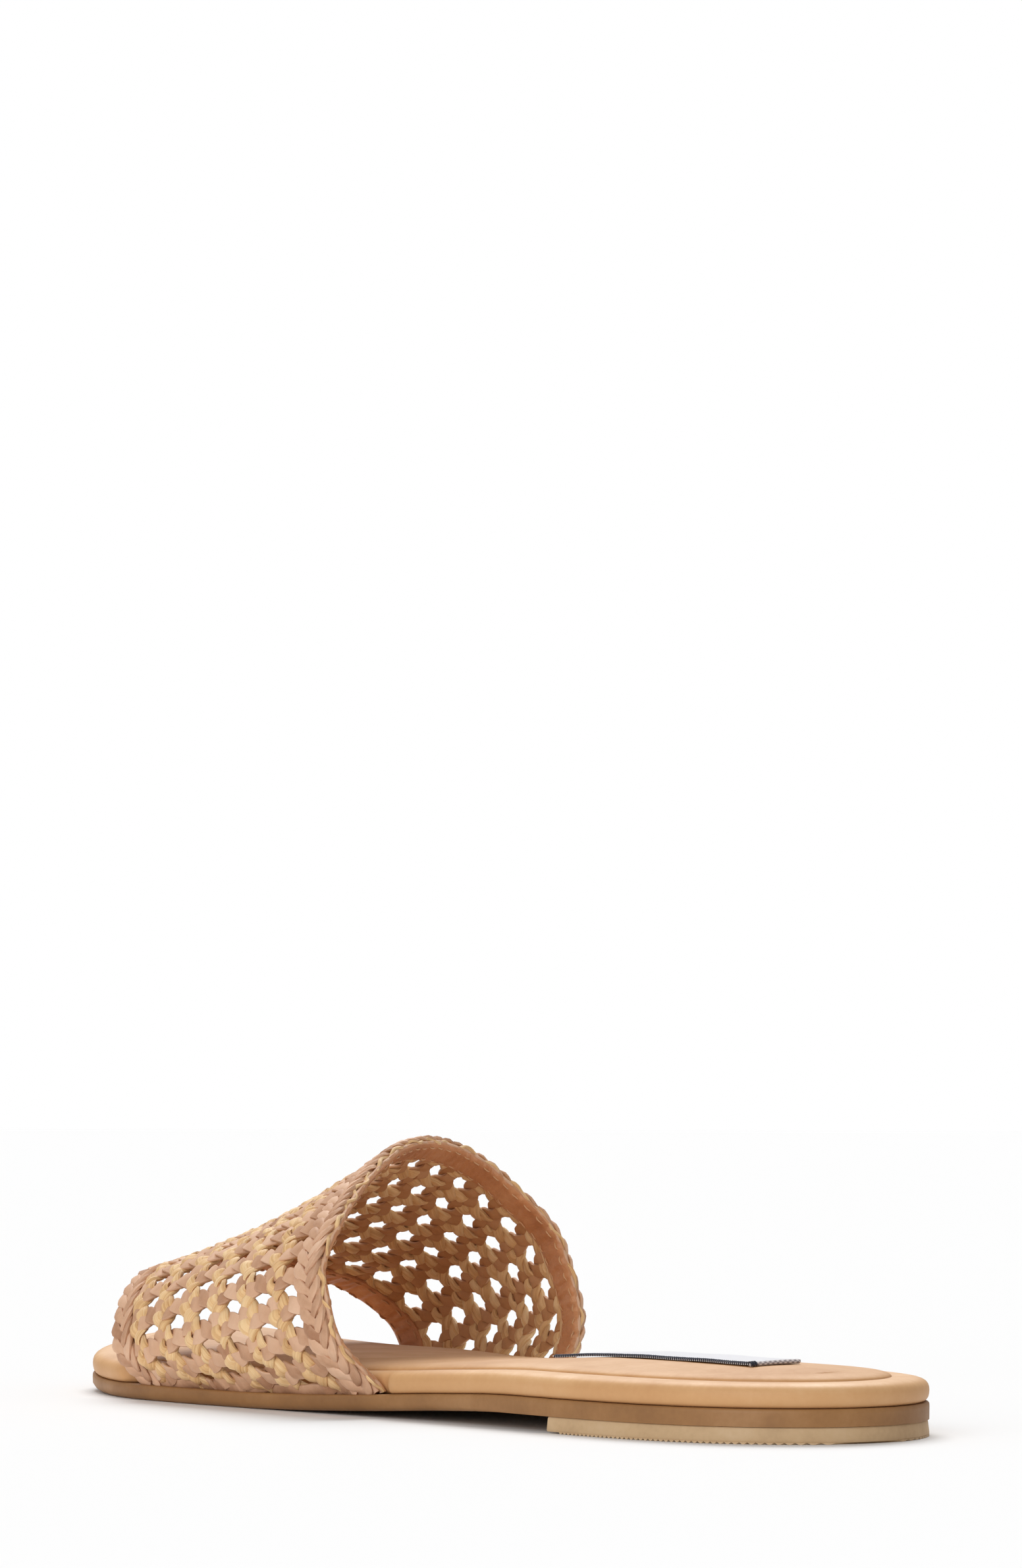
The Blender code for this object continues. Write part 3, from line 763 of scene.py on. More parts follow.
@dataclass
class ThroatEdge:
    """The throat's very edge: the tape's folded leather edge, and bits of straw beside it."""

    band: BandForm
    bench: Workbench
    inset: float = 0.75
    straw_width: float = 1.05
    straw_thickness: float = 0.75
    fold_width: float = 1.5
    fold_thickness: float = 0.9
    steps: int = 520

    def path(self) -> tuple[float, np.ndarray]:
        """u of the edge's line and v at each step along it."""
        middle = self.band.width - self.inset
        low = self.band.foot_v(middle, Side.LATERAL)
        return middle, np.linspace(low, self.band.foot_v(middle, Side.MEDIAL), self.steps)

    def straw(self, material: bpy.types.Material) -> bpy.types.Object:
        """Lays the straw, dipping in and out beside the braid."""
        body = bmesh.new()
        strand = Strand(self.band, self.straw_width, self.straw_thickness, squareness=0.9,
                        creases=0.08)
        middle, v = self.path()
        u = middle - 0.1 + 0.35 * np.sin(v * 0.68) + 0.12 * np.sin(v * 1.9)
        rise = -0.42 + 0.42 * np.cos(v * 0.85) + 0.15 * np.sin(v * 0.37)
        swell = 1 + 0.35 * np.sin(v * 0.9)
        skin = strand.tube(u, v, rise, swell, 0.5 * np.sin(v * 0.5), seed=3.3)
        self.bench.lay_grid(body, skin, v, strand.girths(), tint=0.45)
        return self.bench.finish(body, "throat_straw", material, "upper", sharp=1.2)

    def fold(self, material: bpy.types.Material) -> bpy.types.Object:
        """Lays the folded leather edge between the braid and the tape."""
        body = bmesh.new()
        strand = Strand(self.band, self.fold_width, self.fold_thickness, squareness=0.7)
        middle, v = self.path()
        u = middle - 0.25 + 0.08 * np.sin(v * 1.3)
        rise = -0.80 + 0.10 * np.sin(v * 0.71)
        swell = 1 + 0.12 * np.sin(v * 1.7) * np.sin(v * 0.23)
        skin = strand.tube(u, v, rise, swell, 0.2 * np.sin(v * 0.4))
        self.bench.lay_grid(body, skin, v + 90, strand.girths(), tint=0.6)
        return self.bench.finish(body, "throat_fold", material, "upper", sharp=1.2)


@dataclass
class Binding:
    """The soft leather tape sewn inside one free edge, with its stitches.

    Its wrinkles are deepest at the feet and calm down within wrinkle_reach of them. Each roll holds
    how far a side of the tape stands out, and over which share of the width.
    """

    band: BandForm
    bench: Workbench
    edge: Edge
    width: float = 7.4
    thickness: float = 0.55
    inset: float = 0.25
    depth: float = 1.2
    wrinkle: float = 0.42
    wrinkle_reach: float = 55.0
    wrinkle_least: float = 0.3
    outer_roll: tuple[float, float] = (0.5, 0.12)
    inner_roll: tuple[float, float] = (0.25, 0.10)
    stitch_pitch: float = 3.3
    stitch_length: float = 2.2
    stitch_width: float = 0.30
    stitch_inset: float = 1.0
    stitch_margin: float = 3.0
    steps: int = 420

    def span(self) -> tuple[float, float]:
        """u of the tape's outer and inner side."""
        if self.edge is Edge.FRONT:
            return self.inset, self.inset + self.width
        return self.band.width - self.inset, self.band.width - self.inset - self.width

    def surface(self, u: np.ndarray, v: np.ndarray, deep: float) -> np.ndarray:
        """Points of the tape, wrinkled, deep millimetres inside the band's middle."""
        places, outward = self.band.laid(u, v)
        outer, inner = self.span()
        share = (u - outer) / (inner - outer)
        foot = self.band.girth_at(u)
        ends = np.minimum(v + self.band.crown_at(u) * foot,
                          (1 - self.band.crown_at(u)) * foot - v)
        soft = np.clip(1.25 - ends / self.wrinkle_reach, self.wrinkle_least, 1.0)
        folds = (np.sin(v * 2.1 + 1.7 * np.sin(v * 0.31) + 2 * share)
                 + 0.6 * np.sin(v * 3.9 + 2.2 * np.sin(v * 0.23 + 1) - 3 * share)
                 + 0.5 * np.sin(v * 0.83 + 4 * share))
        (outer_rise, outer_part), (inner_rise, inner_part) = self.outer_roll, self.inner_roll
        edge_roll = (outer_rise * np.clip(1 - share / outer_part, 0, 1) ** 2
                     + inner_rise * np.clip(1 - (1 - share) / inner_part, 0, 1) ** 2)
        lift = deep + self.wrinkle * 0.5 * soft * folds * np.sin(pi * np.clip(share, 0, 1)) ** 0.5
        return places - outward * (lift - edge_roll)[..., None]

    def build(self, material: bpy.types.Material, name: str) -> bpy.types.Object:
        """Lays the tape as a closed thin strip.

        Args:
            material: The leather.
            name: The piece's name.

        Returns:
            The tape.
        """
        body = bmesh.new()
        outer, inner = self.span()
        rows = np.linspace(0, 1, self.steps)
        us = np.tile(np.linspace(outer, inner, 9), (self.steps, 1))
        lows, highs = feet(self.band, us[0])
        vs = lows[None, :] + (highs - lows)[None, :] * rows[:, None]
        near = self.surface(us, vs, self.depth + self.thickness)
        far = self.surface(us, vs, self.depth)
        skin = np.concatenate([near, far[:, ::-1], near[:, :1]], axis=1)
        girth = np.linspace(0, 2 * self.width, skin.shape[1])
        self.bench.lay_grid(body, skin, rows * float(highs[0] - lows[0]), girth)
        return self.bench.finish(body, name, material, "upper", sharp=1.0)

    def stitches(self, material: bpy.types.Material, name: str) -> bpy.types.Object:
        """Rows of thread along both sides of the tape.

        Args:
            material: The thread.
            name: The piece's name.

        Returns:
            All the stitches as one piece.
        """
        body = bmesh.new()
        outer, inner = self.span()
        sign = 1.0 if inner > outer else -1.0
        bow = np.array([-0.28, 0.05, 0.13, 0.15, 0.13, 0.05, -0.28])
        for inset in (self.stitch_inset, self.width - self.stitch_inset + 0.1):
            u0 = outer + sign * inset
            low = self.band.foot_v(u0, Side.LATERAL) + self.stitch_margin
            high = self.band.foot_v(u0, Side.MEDIAL) - self.stitch_margin
            count = int((high - low) / self.stitch_pitch)
            for k in range(count):
                middle = low + (k + 0.5) * self.stitch_pitch
                v = middle + np.linspace(-0.5, 0.5, len(bow)) * self.stitch_length
                u = np.full(len(bow), u0) + 0.12 * sin(k * 2.4)
                outward = self.band.laid(u, v)[1]
                line = self.surface(u, v, self.depth + self.thickness) - outward * bow[:, None]
                lay_thread(self.bench, body, line, outward, self.stitch_width)
        return self.bench.finish(body, name, material, "upper", sharp=1.5)


def lay_thread(bench: Workbench, body: bmesh.types.BMesh, line: np.ndarray, up: np.ndarray,
               width: float, ring: int = 6, end: float = 0.45) -> None:
    """Adds one short round thread along a line of points.

    Args:
        bench: Lays the grid.
        body: The mesh to add to.
        line: Points on the last's axes.
        up: A direction square to the line at each point.
        width: The thread's diameter.
        ring: Faces round the thread.
        end: How thick the thread's ends are, as a share of its width.
    """
    ahead = unit(np.gradient(line, axis=0))
    side = unit(np.cross(up, ahead))
    top = np.cross(ahead, side)
    theta = np.linspace(0, 2 * pi, ring + 1)
    taper = np.full(len(line), 1.0)
    taper[0] = taper[-1] = end
    half = (width / 2 * taper)[:, None, None]
    skin = (line[:, None, :] + half * (side[:, None, :] * np.cos(theta)[None, :, None]
                                       + top[:, None, :] * np.sin(theta)[None, :, None]))
    skin[:, -1] = skin[:, 0]
    length = np.concatenate([[0], np.cumsum(np.linalg.norm(np.diff(line, axis=0), axis=1))])
    bench.lay_grid(body, skin, length, np.linspace(0, pi * width, ring + 1))


@dataclass
class Layer:
    """One level of a sole piece: how far in from the outline and how high."""

    inset: Callable[[float, Side], float]
    height: Callable[[float], float]


@dataclass
class SoleShell:
    """A closed layer of the sole, wound round its cross-sections from heel to toe."""

    sole: SoleForm
    bench: Workbench
    layers: list[Layer]
    crown: Callable[[float], float] = lambda x: 0.0
    steps: int = 150
    fill: int = 7
    crown_fall: float = 2.2
    crown_room: float = 30.0
    girth: float = 180.0
    stations: list[float] = field(default_factory=list)

    def half(self, angle: float, side: Side) -> list[tuple[float, float, float]]:
        """One side of a cross-section, from the top's middle line down to the bottom's."""
        x = self.sole.along_at(angle)
        edges = [(*self.sole.edge_point(angle, side, layer.inset(x, side)), layer.height(x))
                 for layer in self.layers]
        found = []
        for where, bulge in ((0, self.crown(x)), (-1, 0.0)):
            left, right = (self.sole.edge_point(angle, each, self.layers[where].inset(x, each))
                           for each in Side)
            middle = ((left[0] + right[0]) / 2, (left[1] + right[1]) / 2)
            tip = edges[where]
            bulge *= min(1.0, abs(left[1] - right[1]) / self.crown_room)
            shares = [k / self.fill for k in range(self.fill)]
            found.append([(mix(middle[0], tip[0], s), mix(middle[1], tip[1], s),
                           tip[2] + bulge * (1 - s ** self.crown_fall)) for s in shares])
        return found[0] + edges + found[1][::-1]

    def build(self, name: str, material: bpy.types.Material, slot: str,
              sharp: float = 0.9) -> bpy.types.Object:
        """Winds the layer and closes it.

        Args:
            name: The piece's name.
            material: Its finish.
            slot: The record's material slot.
            sharp: Angle above which an edge stays crisp.

        Returns:
            The piece.
        """
        if self.stations:
            angles = [self.sole.angle_at(x) for x in self.stations]
        else:
            angles = [pi * k / self.steps for k in range(self.steps + 1)]
        rows = []
        for angle in angles:
            left = self.half(angle, Side.LATERAL)
            right = self.half(angle, Side.MEDIAL)
            rows.append(left + right[::-1][1:-1] + [left[0]])
        body = bmesh.new()
        along = np.array([self.sole.along_at(a) for a in angles])
        across = np.linspace(0, self.girth, len(rows[0]))
        self.bench.lay_grid(body, np.array(rows), along, across)
        return self.bench.finish(body, name, material, slot, sharp=sharp)


@dataclass
class SoleMaker:
    """Builds the outsole, the heel lift with its teeth, the footbed and the cushion."""

    sole: SoleForm
    band: BandForm
    bench: Workbench
    footbed_round: float = 3.0
    pad_margin: float = 7.0
    tooth_pitch: float = 1.12
    tooth_height: float = 0.32
    tooth_margin: float = 1.6
    toothless: float = 3.5
    tooth_inset: float = 0.06
    crown_at_heel: float = 0.95
    crown_at_ball: float = 0.35
    crown_span: tuple[float, float] = (45.0, 110.0)
    edge_rounding: float = 1.6
    rounding_span: tuple[float, float] = (66.0, 92.0)
    seat_fade: float = 4.0

    def cushion_crown(self, x: float) -> float:
        """How much higher the cushion's middle is than its edge: most at the heel."""
        return mix(self.crown_at_heel, self.crown_at_ball, ease(x, *self.crown_span))

    def seat_inset(self, x: float, side: Side) -> float:
        """How far the footbed's side stands in where the band is lasted in beside it."""
        length, gap = self.sole.length, self.sole.gap
        column = 0 if side is Side.LATERAL else 1
        back = self.band.throat[column] * length - gap
        front = self.band.front[column] * length + gap + self.band.front_lean * self.sole.footbed
        thick = self.band.foot_margin + self.band.wall + 2 * self.band.relief - 0.1
        return (thick * ease(x, back - self.seat_fade, back)
                * (1 - ease(x, front, front + self.seat_fade)))

    def outsole(self, material: bpy.types.Material) -> bpy.types.Object:
        """The thin outsole: its lower edge is rounded ahead of the heel."""
        sole = self.sole

        def round_at(x: float) -> float:
            """Rounding of the lower edge."""
            return self.edge_rounding * ease(x, *self.rounding_span) + 0.12

        def upper(inset: float, down: float) -> Layer:
            """One level of the side, down from the crease."""
            return Layer(lambda x, s: inset, lambda x: sole.outsole_top(x) - down)

        def lower(share: float, inset: float, up: float) -> Layer:
            """One level of the rounded edge, with shares of its rounding."""
            return Layer(lambda x, s: share * round_at(x) + inset,
                         lambda x: sole.underside(x) + up * round_at(x))

        layers = [upper(0.75, 0.02), upper(0.22, 0.10), upper(0.03, 0.38), upper(0.0, 0.90),
                  lower(0.0, 0.04, 0.75), lower(0.32, 0.0, 0.32), lower(0.72, 0.0, 0.06),
                  lower(1.0, 0.1, 0.0)]
        shell = SoleShell(sole, self.bench, layers, steps=170)
        return shell.build("outsole_board", material, "outsole")

    def lift(self, material: bpy.types.Material) -> bpy.types.Object:
        """The heel lift's body, open below where its teeth are."""
        sole = self.sole
        end = sole.lift_length
        stations = [sole.along_at(sole.angle_at(end) * k / 60) for k in range(61)]
        low = self.tooth_height

        def level(inset: float, height: float) -> Layer:
            """One level of the lift's side."""
            return Layer(lambda x, s: inset, lambda x: height)

        layers = [level(0.5, sole.lift - 0.05), level(0.3, sole.lift - 0.35),
                  level(0.1, low + 0.75), level(0.05, low + 0.3), level(0.2, low)]
        shell = SoleShell(sole, self.bench, layers, stations=stations)
        return shell.build("heel_lift_body", material, "heel_lift", sharp=0.8)

    def teeth(self, material: bpy.types.Material) -> bpy.types.Object:
        """The row of low ridges across the lift's underside."""
        sole, body = self.sole, bmesh.new()
        section = ((-0.52, 0.36), (-0.22, 0.06), (-0.10, 0.0), (0.10, 0.0), (0.22, 0.06),
                   (0.52, 0.36), (-0.52, 0.36))
        count = int((sole.lift_length - self.toothless) / self.tooth_pitch)
        for k in range(count):
            x = self.tooth_margin + k * self.tooth_pitch
            rows = []
            for dx, z in section:
                at = x + dx
                left, right = (sole.edge_y(at, side, self.tooth_inset) for side in Side)
                rows.append([(at, mix(left, right, s / 12), z) for s in range(13)])
            places = np.array(rows).transpose(1, 0, 2)
            self.bench.lay_grid(body, places, np.linspace(0, 60, 13), np.linspace(0, 3, 7))
        return self.bench.finish(body, "heel_lift_teeth", material, "heel_lift", sharp=0.6)

    def footbed(self, material: bpy.types.Material) -> bpy.types.Object:
        """The leather-wrapped board, with a soft upper edge and a slightly bulging side."""
        sole, rounding = self.sole, self.footbed_round

        def layer(out: float, share: float) -> Layer:
            """One level of the board's side."""
            return Layer(lambda x, s: self.seat_inset(x, s) + out * rounding,
                         lambda x: sole.outsole_top(x) + sole.gap + sole.footbed * share
                         + (0.0 if share > 0.02 else -0.22))

        layers = [layer(1.25, 1.0), layer(0.92, 0.99), layer(0.62, 0.955), layer(0.38, 0.895),
                  layer(0.20, 0.81), layer(0.08, 0.70), layer(0.02, 0.57), layer(0.0, 0.42),
                  layer(0.02, 0.27), layer(0.07, 0.13), layer(0.16, 0.03), layer(0.30, 0.0)]
        shell = SoleShell(sole, self.bench, layers, steps=220, fill=9)
        return shell.build("footbed_board", material, "footbed", sharp=1.3)

    def pad(self, material: bpy.types.Material) -> bpy.types.Object:
        """The cushion under the foot, crowned, with its leather turned down at the edge."""
        sole, margin = self.sole, self.pad_margin

        def layer(inset: float, rise: float) -> Layer:
            """One level of the cushion's edge, rise in millimetres over the footbed."""
            return Layer(lambda x, s: margin + inset, lambda x: sole.footbed_top(x) + rise)

        layers = [layer(7.0, 1.18), layer(4.6, 1.14), layer(3.0, 1.06), layer(1.8, 0.92),
                  layer(0.9, 0.70), layer(0.3, 0.42), layer(0.05, 0.20), layer(0.0, 0.02),
                  layer(0.2, -0.03)]
        shell = SoleShell(sole, self.bench, layers, crown=self.cushion_crown, steps=200, fill=9)
        made = shell.build("cushion", material, "insole_pad", sharp=1.3)
        return made


@dataclass
class WovenLabel:
    """The blank woven label on the cushion: a white tape, its folded end and an overcast edge."""

    sole: SoleForm
    bench: Workbench
    maker: SoleMaker
    heel_end: float = 26.8
    toe_end: float = 91.8
    middle: float = 1.32
    width: float = 11.8
    thickness: float = 0.40
    lie: float = 0.30
    tilt: float = 0.15
    sag: float = 0.10
    columns: int = 15
    steps: int = 66
    wind_pitch: float = 0.62
    wind_width: float = 0.34
    corner_winds: int = 3
    corner_width: float = 0.42

    def ground(self, x: float) -> float:
        """Height of the cushion's crown under the label."""
        return self.sole.pad_top(x) + 0.08 + self.maker.cushion_crown(x)

    def face(self, x: float, s: float) -> float:
        """Height of the tape's upper face; s runs from -1 at the far edge to 1 at the near one."""
        sag = self.sag * (1 - s * s) + 0.04 * sin(x * 0.32 + s)
        return self.ground(x) + self.lie + self.thickness - self.tilt * s + sag

    def tape(self, material: bpy.types.Material) -> bpy.types.Object:
        """Lays the white tape."""
        stations = np.linspace(self.heel_end, self.toe_end, self.steps)
        spread = np.linspace(-1, 1, self.columns)
        half = self.width / 2
        rows = []
        for x in stations:
            slim = self.thickness * min(1.0, 0.35 + (self.toe_end - x) * 1.6)
            above = [(x, self.middle + s * half, self.face(x, s)) for s in spread]
            below = [(x, y, z - slim) for x, y, z in reversed(above)]
            rows.append(above + below + above[:1])
        body = bmesh.new()
        across = half * np.concatenate([spread, spread[::-1], [-1]])
        self.bench.lay_grid(body, np.array(rows), stations, across)
        made = self.bench.finish(body, "label_tape", material, "label", sharp=1.0)
        return made

    def fold(self, material: bpy.types.Material) -> bpy.types.Object:
        """Rolls the tape's heel end under itself, which shows its checked back."""
        body = bmesh.new()
        rows = []
        turns = np.linspace(0, 2 * pi, 17)
        spread = np.linspace(-1, 1, 41)
        for s in spread:
            slim = min(1.0, 0.55 + (1 - abs(s)) * 9)
            middle = self.face(self.heel_end, s) - 0.34
            rows.append([(self.heel_end + 0.25 + 0.75 * slim * cos(turn),
                          self.middle + s * (self.width / 2 - 0.1),
                          middle + 0.44 * slim * sin(turn)) for turn in turns])
        self.bench.lay_grid(body, np.array(rows), spread * self.width / 2, turns * 0.6)
        return self.bench.finish(body, "label_fold", material, "label", sharp=1.0)

    def overcast(self, material: bpy.types.Material) -> bpy.types.Object:
        """The dark thread wound over the label's near edge and round its corner."""
        body = bmesh.new()
        half = self.width / 2
        up = np.tile((1.0, 0.0, 0.0), (5, 1))
        for k in range(int((self.toe_end - self.heel_end) / self.wind_pitch)):
            x = self.heel_end + 0.2 + k * self.wind_pitch
            edge, top = self.middle + half, self.face(x, 1.0)
            reach = 0.55 + 0.25 * sin(k * 1.7) + 0.2 * sin(k * 0.37)
            line = np.array([(x - 0.10, edge - reach, top + 0.04), (x, edge - 0.3, top + 0.08),
                             (x + 0.1, edge - 0.02, top + 0.02),
                             (x + 0.15, edge + 0.12, top - 0.16),
                             (x + 0.15, edge + 0.06, top - 0.40)])
            lay_thread(self.bench, body, line, up, self.wind_width)
        along = np.tile((0.0, 1.0, 0.0), (5, 1))
        for k in range(self.corner_winds):
            s = 1 - 0.09 * k
            y, top = self.middle + s * half, self.face(self.heel_end, s)
            line = np.array([(self.heel_end + 0.9, y, top + 0.10),
                             (self.heel_end - 0.1, y, top + 0.14),
                             (self.heel_end - 0.50, y, top - 0.05),
                             (self.heel_end - 0.62, y, top - 0.35),
                             (self.heel_end - 0.45, y, top - 0.66)])
            lay_thread(self.bench, body, line, along, self.corner_width)
        return self.bench.finish(body, "label_overcast", material, "label", sharp=1.5)


Value = float | int | bool | str | tuple | bpy.types.NodeSocket


class NodeBench:
    """Adds nodes to one node tree and links them."""

    def __init__(self, tree: bpy.types.NodeTree) -> None:
        """Empties the tree.

        Args:
            tree: The material's or group's tree.
        """
        self.tree = tree
        tree.nodes.clear()

    def add(self, kind: str, inputs: dict[str | int, Value] | None = None,
            **settings: object) -> bpy.types.Node:
        """Makes a node, sets it up and feeds its inputs with values or other nodes' sockets.

        Args:
            kind: The node's type name.
            inputs: Values or sockets by input name or number.
            settings: The node's own properties.

        Returns:
            The node.
        """
        made = self.tree.nodes.new(kind)
        for name, value in settings.items():
            setattr(made, name, value)
        for name, value in (inputs or {}).items():
            if isinstance(value, bpy.types.NodeSocket):
                self.tree.links.new(value, made.inputs[name])
            else:
                made.inputs[name].default_value = value
        return made

    def math(self, operation: str, first: Value, second: Value = 0.0,
             clamp: bool = False) -> bpy.types.NodeSocket:
        """The result of one sum."""
        made = self.add("ShaderNodeMath", {0: first, 1: second}, operation=operation,
                        use_clamp=clamp)
        return made.outputs[0]

    def spread(self, value: Value, low: float, high: float, to_low: float = 0.0,
               to_high: float = 1.0) -> bpy.types.NodeSocket:
        """A value carried from one range to another, and held inside it."""
        made = self.add("ShaderNodeMapRange", {"Value": value, "From Min": low, "From Max": high,
                                               "To Min": to_low, "To Max": to_high}, clamp=True)
        return made.outputs["Result"]

    def blend(self, share: Value, first: Value, second: Value) -> bpy.types.NodeSocket:
        """A colour between two others."""
        made = self.add("ShaderNodeMix", {"Factor": share, 6: first, 7: second},
                        data_type="RGBA")
        return made.outputs[2]


def new_group(name: str, inputs: list[tuple[str, str, float]],
              outputs: list[tuple[str, str]]) -> tuple[NodeBench, bpy.types.Node, bpy.types.Node]:
    """A shader node group with named sockets.

    Args:
        name: The group's name.
        inputs: Name, kind and starting value of each input.
        outputs: Name and kind of each output.

    Returns:
        The group's bench, its input node and its output node.
    """
    tree = bpy.data.node_groups.new(name, "ShaderNodeTree")
    for label, kind, value in inputs:
        made = tree.interface.new_socket(name=label, in_out="INPUT", socket_type=kind)
        if kind == "NodeSocketFloat":
            made.default_value = value
    for label, kind in outputs:
        tree.interface.new_socket(name=label, in_out="OUTPUT", socket_type=kind)
    bench = NodeBench(tree)
    return bench, bench.add("NodeGroupInput"), bench.add("NodeGroupOutput")


class SharedEffects:
    """Node groups for the effects that more than one finish uses."""

    def __init__(self) -> None:
        """Makes the groups once."""
        self.grain = self.make_grain()
        self.fibres = self.make_fibres()
        self.tones = self.make_tones()
        self.threads = self.make_threads()

    @staticmethod
    def make_grain() -> bpy.types.NodeTree:
        """Leather: pebbles, pores and slow clouds of tone, from coordinates in millimetres."""
        bench, given, result = new_group(
            "leather_grain",
            [("Place", "NodeSocketVector", 0.0), ("Size", "NodeSocketFloat", 1.0),
             ("Creases", "NodeSocketFloat", 0.3)],
            [("Height", "NodeSocketFloat"), ("Tone", "NodeSocketFloat")])
        size = bench.math("DIVIDE", 1.0, given.outputs["Size"])
        cells = bench.add("ShaderNodeTexVoronoi", {"Vector": given.outputs["Place"],
                                                   "Scale": size, "Randomness": 1.0},
                          feature="DISTANCE_TO_EDGE")
        pebble = bench.spread(cells.outputs["Distance"], 0.0, 0.30)
        fine = bench.add("ShaderNodeTexNoise", {"Vector": given.outputs["Place"], "Scale": 3.1,
                                                "Detail": 3.0, "Roughness": 0.6})
        folds = bench.add("ShaderNodeTexNoise", {"Vector": given.outputs["Place"], "Scale": 0.42,
                                                 "Detail": 3.0, "Distortion": 1.6})
        bent = bench.math("ABSOLUTE", bench.math("SUBTRACT", folds.outputs[0], 0.5))
        crease = bench.spread(bent, 0.0, 0.07)
        depth = bench.math("MULTIPLY", crease, given.outputs["Creases"])
        height = bench.math("ADD", bench.math("MULTIPLY", pebble, 0.35),
                            bench.math("MULTIPLY", fine.outputs[0], 0.65))
        height = bench.math("ADD", height, depth)
        clouds = bench.add("ShaderNodeTexNoise", {"Vector": given.outputs["Place"], "Scale": 0.06,
                                                  "Detail": 4.0, "Roughness": 0.55})
        speckle = bench.add("ShaderNodeTexNoise", {"Vector": given.outputs["Place"], "Scale": 0.9,
                                                   "Detail": 2.0})
        tone = bench.math("ADD", bench.math("MULTIPLY", clouds.outputs[0], 0.78),
                          bench.math("MULTIPLY", speckle.outputs[0], 0.17))
        tone = bench.math("ADD", tone, bench.math("MULTIPLY", fine.outputs[0], 0.05))
        bench.tree.links.new(height, result.inputs["Height"])
        bench.tree.links.new(tone, result.inputs["Tone"])
        return bench.tree

    @staticmethod
    def make_fibres() -> bpy.types.NodeTree:
        """Long fibres along V of a map in millimetres."""
        bench, given, result = new_group(
            "fibres",
            [("Place", "NodeSocketVector", 0.0), ("Across", "NodeSocketFloat", 3.0),
             ("Along", "NodeSocketFloat", 0.12)],
            [("Height", "NodeSocketFloat"), ("Tone", "NodeSocketFloat")])
        scale = bench.add("ShaderNodeCombineXYZ", {0: given.outputs["Across"],
                                                   1: given.outputs["Along"], 2: 1.0})
        stretched = bench.add("ShaderNodeVectorMath", {0: given.outputs["Place"],
                                                       1: scale.outputs[0]}, operation="MULTIPLY")
        strands = bench.add("ShaderNodeTexNoise", {"Vector": stretched.outputs[0], "Scale": 1.0,
                                                   "Detail": 4.0, "Roughness": 0.65,
                                                   "Distortion": 0.3})
        broad = bench.add("ShaderNodeVectorMath", {0: stretched.outputs[0],
                                                   1: (0.30, 0.5, 1.0)}, operation="MULTIPLY")
        bundles = bench.add("ShaderNodeTexNoise", {"Vector": broad.outputs[0], "Scale": 1.0,
                                                   "Detail": 2.0})
        height = bench.math("ADD", bench.math("MULTIPLY", strands.outputs[0], 0.7),
                            bench.math("MULTIPLY", bundles.outputs[0], 0.6))
        tone = bench.math("ADD", bench.math("MULTIPLY", strands.outputs[0], 0.55),
                          bench.math("MULTIPLY", bundles.outputs[0], 0.55))
        bench.tree.links.new(height, result.inputs["Height"])
        bench.tree.links.new(tone, result.inputs["Tone"])
        return bench.tree

    @staticmethod
    def make_tones() -> bpy.types.NodeTree:
        """A colour from dark through middle to light by a tone and the strip's own shade."""
        bench, given, result = new_group(
            "strip_tones",
            [("Tone", "NodeSocketFloat", 0.5), ("Own Share", "NodeSocketFloat", 0.3),
             ("Dark", "NodeSocketColor", 0.0), ("Middle", "NodeSocketColor", 0.0),
             ("Light", "NodeSocketColor", 0.0)],
            [("Color", "NodeSocketColor")])
        own = bench.add("ShaderNodeAttribute", attribute_name="tint")
        shade = bench.math("SUBTRACT", own.outputs["Fac"], 0.5)
        shade = bench.math("MULTIPLY", shade, given.outputs["Own Share"])
        tone = bench.math("ADD", bench.spread(given.outputs["Tone"], 0.28, 0.78), shade, clamp=True)
        lower = bench.spread(tone, 0.0, 0.5)
        upper = bench.spread(tone, 0.5, 1.0)
        dark = bench.blend(lower, given.outputs["Dark"], given.outputs["Middle"])
        colour = bench.blend(upper, dark, given.outputs["Light"])
        bench.tree.links.new(colour, result.inputs["Color"])
        return bench.tree

    @staticmethod
    def make_threads() -> bpy.types.NodeTree:
        """A plain weave of fine threads on a map in millimetres."""
        bench, given, result = new_group(
            "fine_threads",
            [("Place", "NodeSocketVector", 0.0), ("Count", "NodeSocketFloat", 3.0)],
            [("Height", "NodeSocketFloat"), ("Check", "NodeSocketFloat")])
        split = bench.add("ShaderNodeSeparateXYZ", {0: given.outputs["Place"]})
        turns = bench.math("MULTIPLY", given.outputs["Count"], pi)
        across = bench.math("SINE", bench.math("MULTIPLY", split.outputs[0], turns))
        along = bench.math("SINE", bench.math("MULTIPLY", split.outputs[1], turns))
        product = bench.math("MULTIPLY", across, along)
        height = bench.math("ABSOLUTE", product)
        check = bench.spread(product, -0.25, 0.25)
        bench.tree.links.new(height, result.inputs["Height"])
        bench.tree.links.new(check, result.inputs["Check"])
        return bench.tree


@dataclass(frozen=True)
class Look:
    """The name, the three tones and the dullness that every finish of strips or leather has."""

    name: str
    dark: Colour
    middle: Colour
    light: Colour
    depth: float = 0.05
    roughness: float = 0.5
    own_share: float = 0.3


@dataclass(frozen=True)
class LeatherLook(Look):
    """Sizes and colours of one leather."""

    grain: float = 0.9
    creases: float = 0.3
    mapped: bool = False
    # How far the side faces are darkened toward the dark tone: painted shade.
    side_shade: float = 0.0
    # From this U round a strip, its inward faces take the back colour: the flesh side's own brown
    # together with painted shade of the band's inside.
    back_from: float = 0.0
    back: Colour = (0.2, 0.1, 0.05, 1.0)


@dataclass(frozen=True)
class FibreLook(Look):
    """Sizes and colours of straw or thread."""

    depth: float = 0.16
    roughness: float = 0.55
    own_share: float = 0.35
    across: float = 3.0
    along: float = 0.12
    sheen: float = 0.1


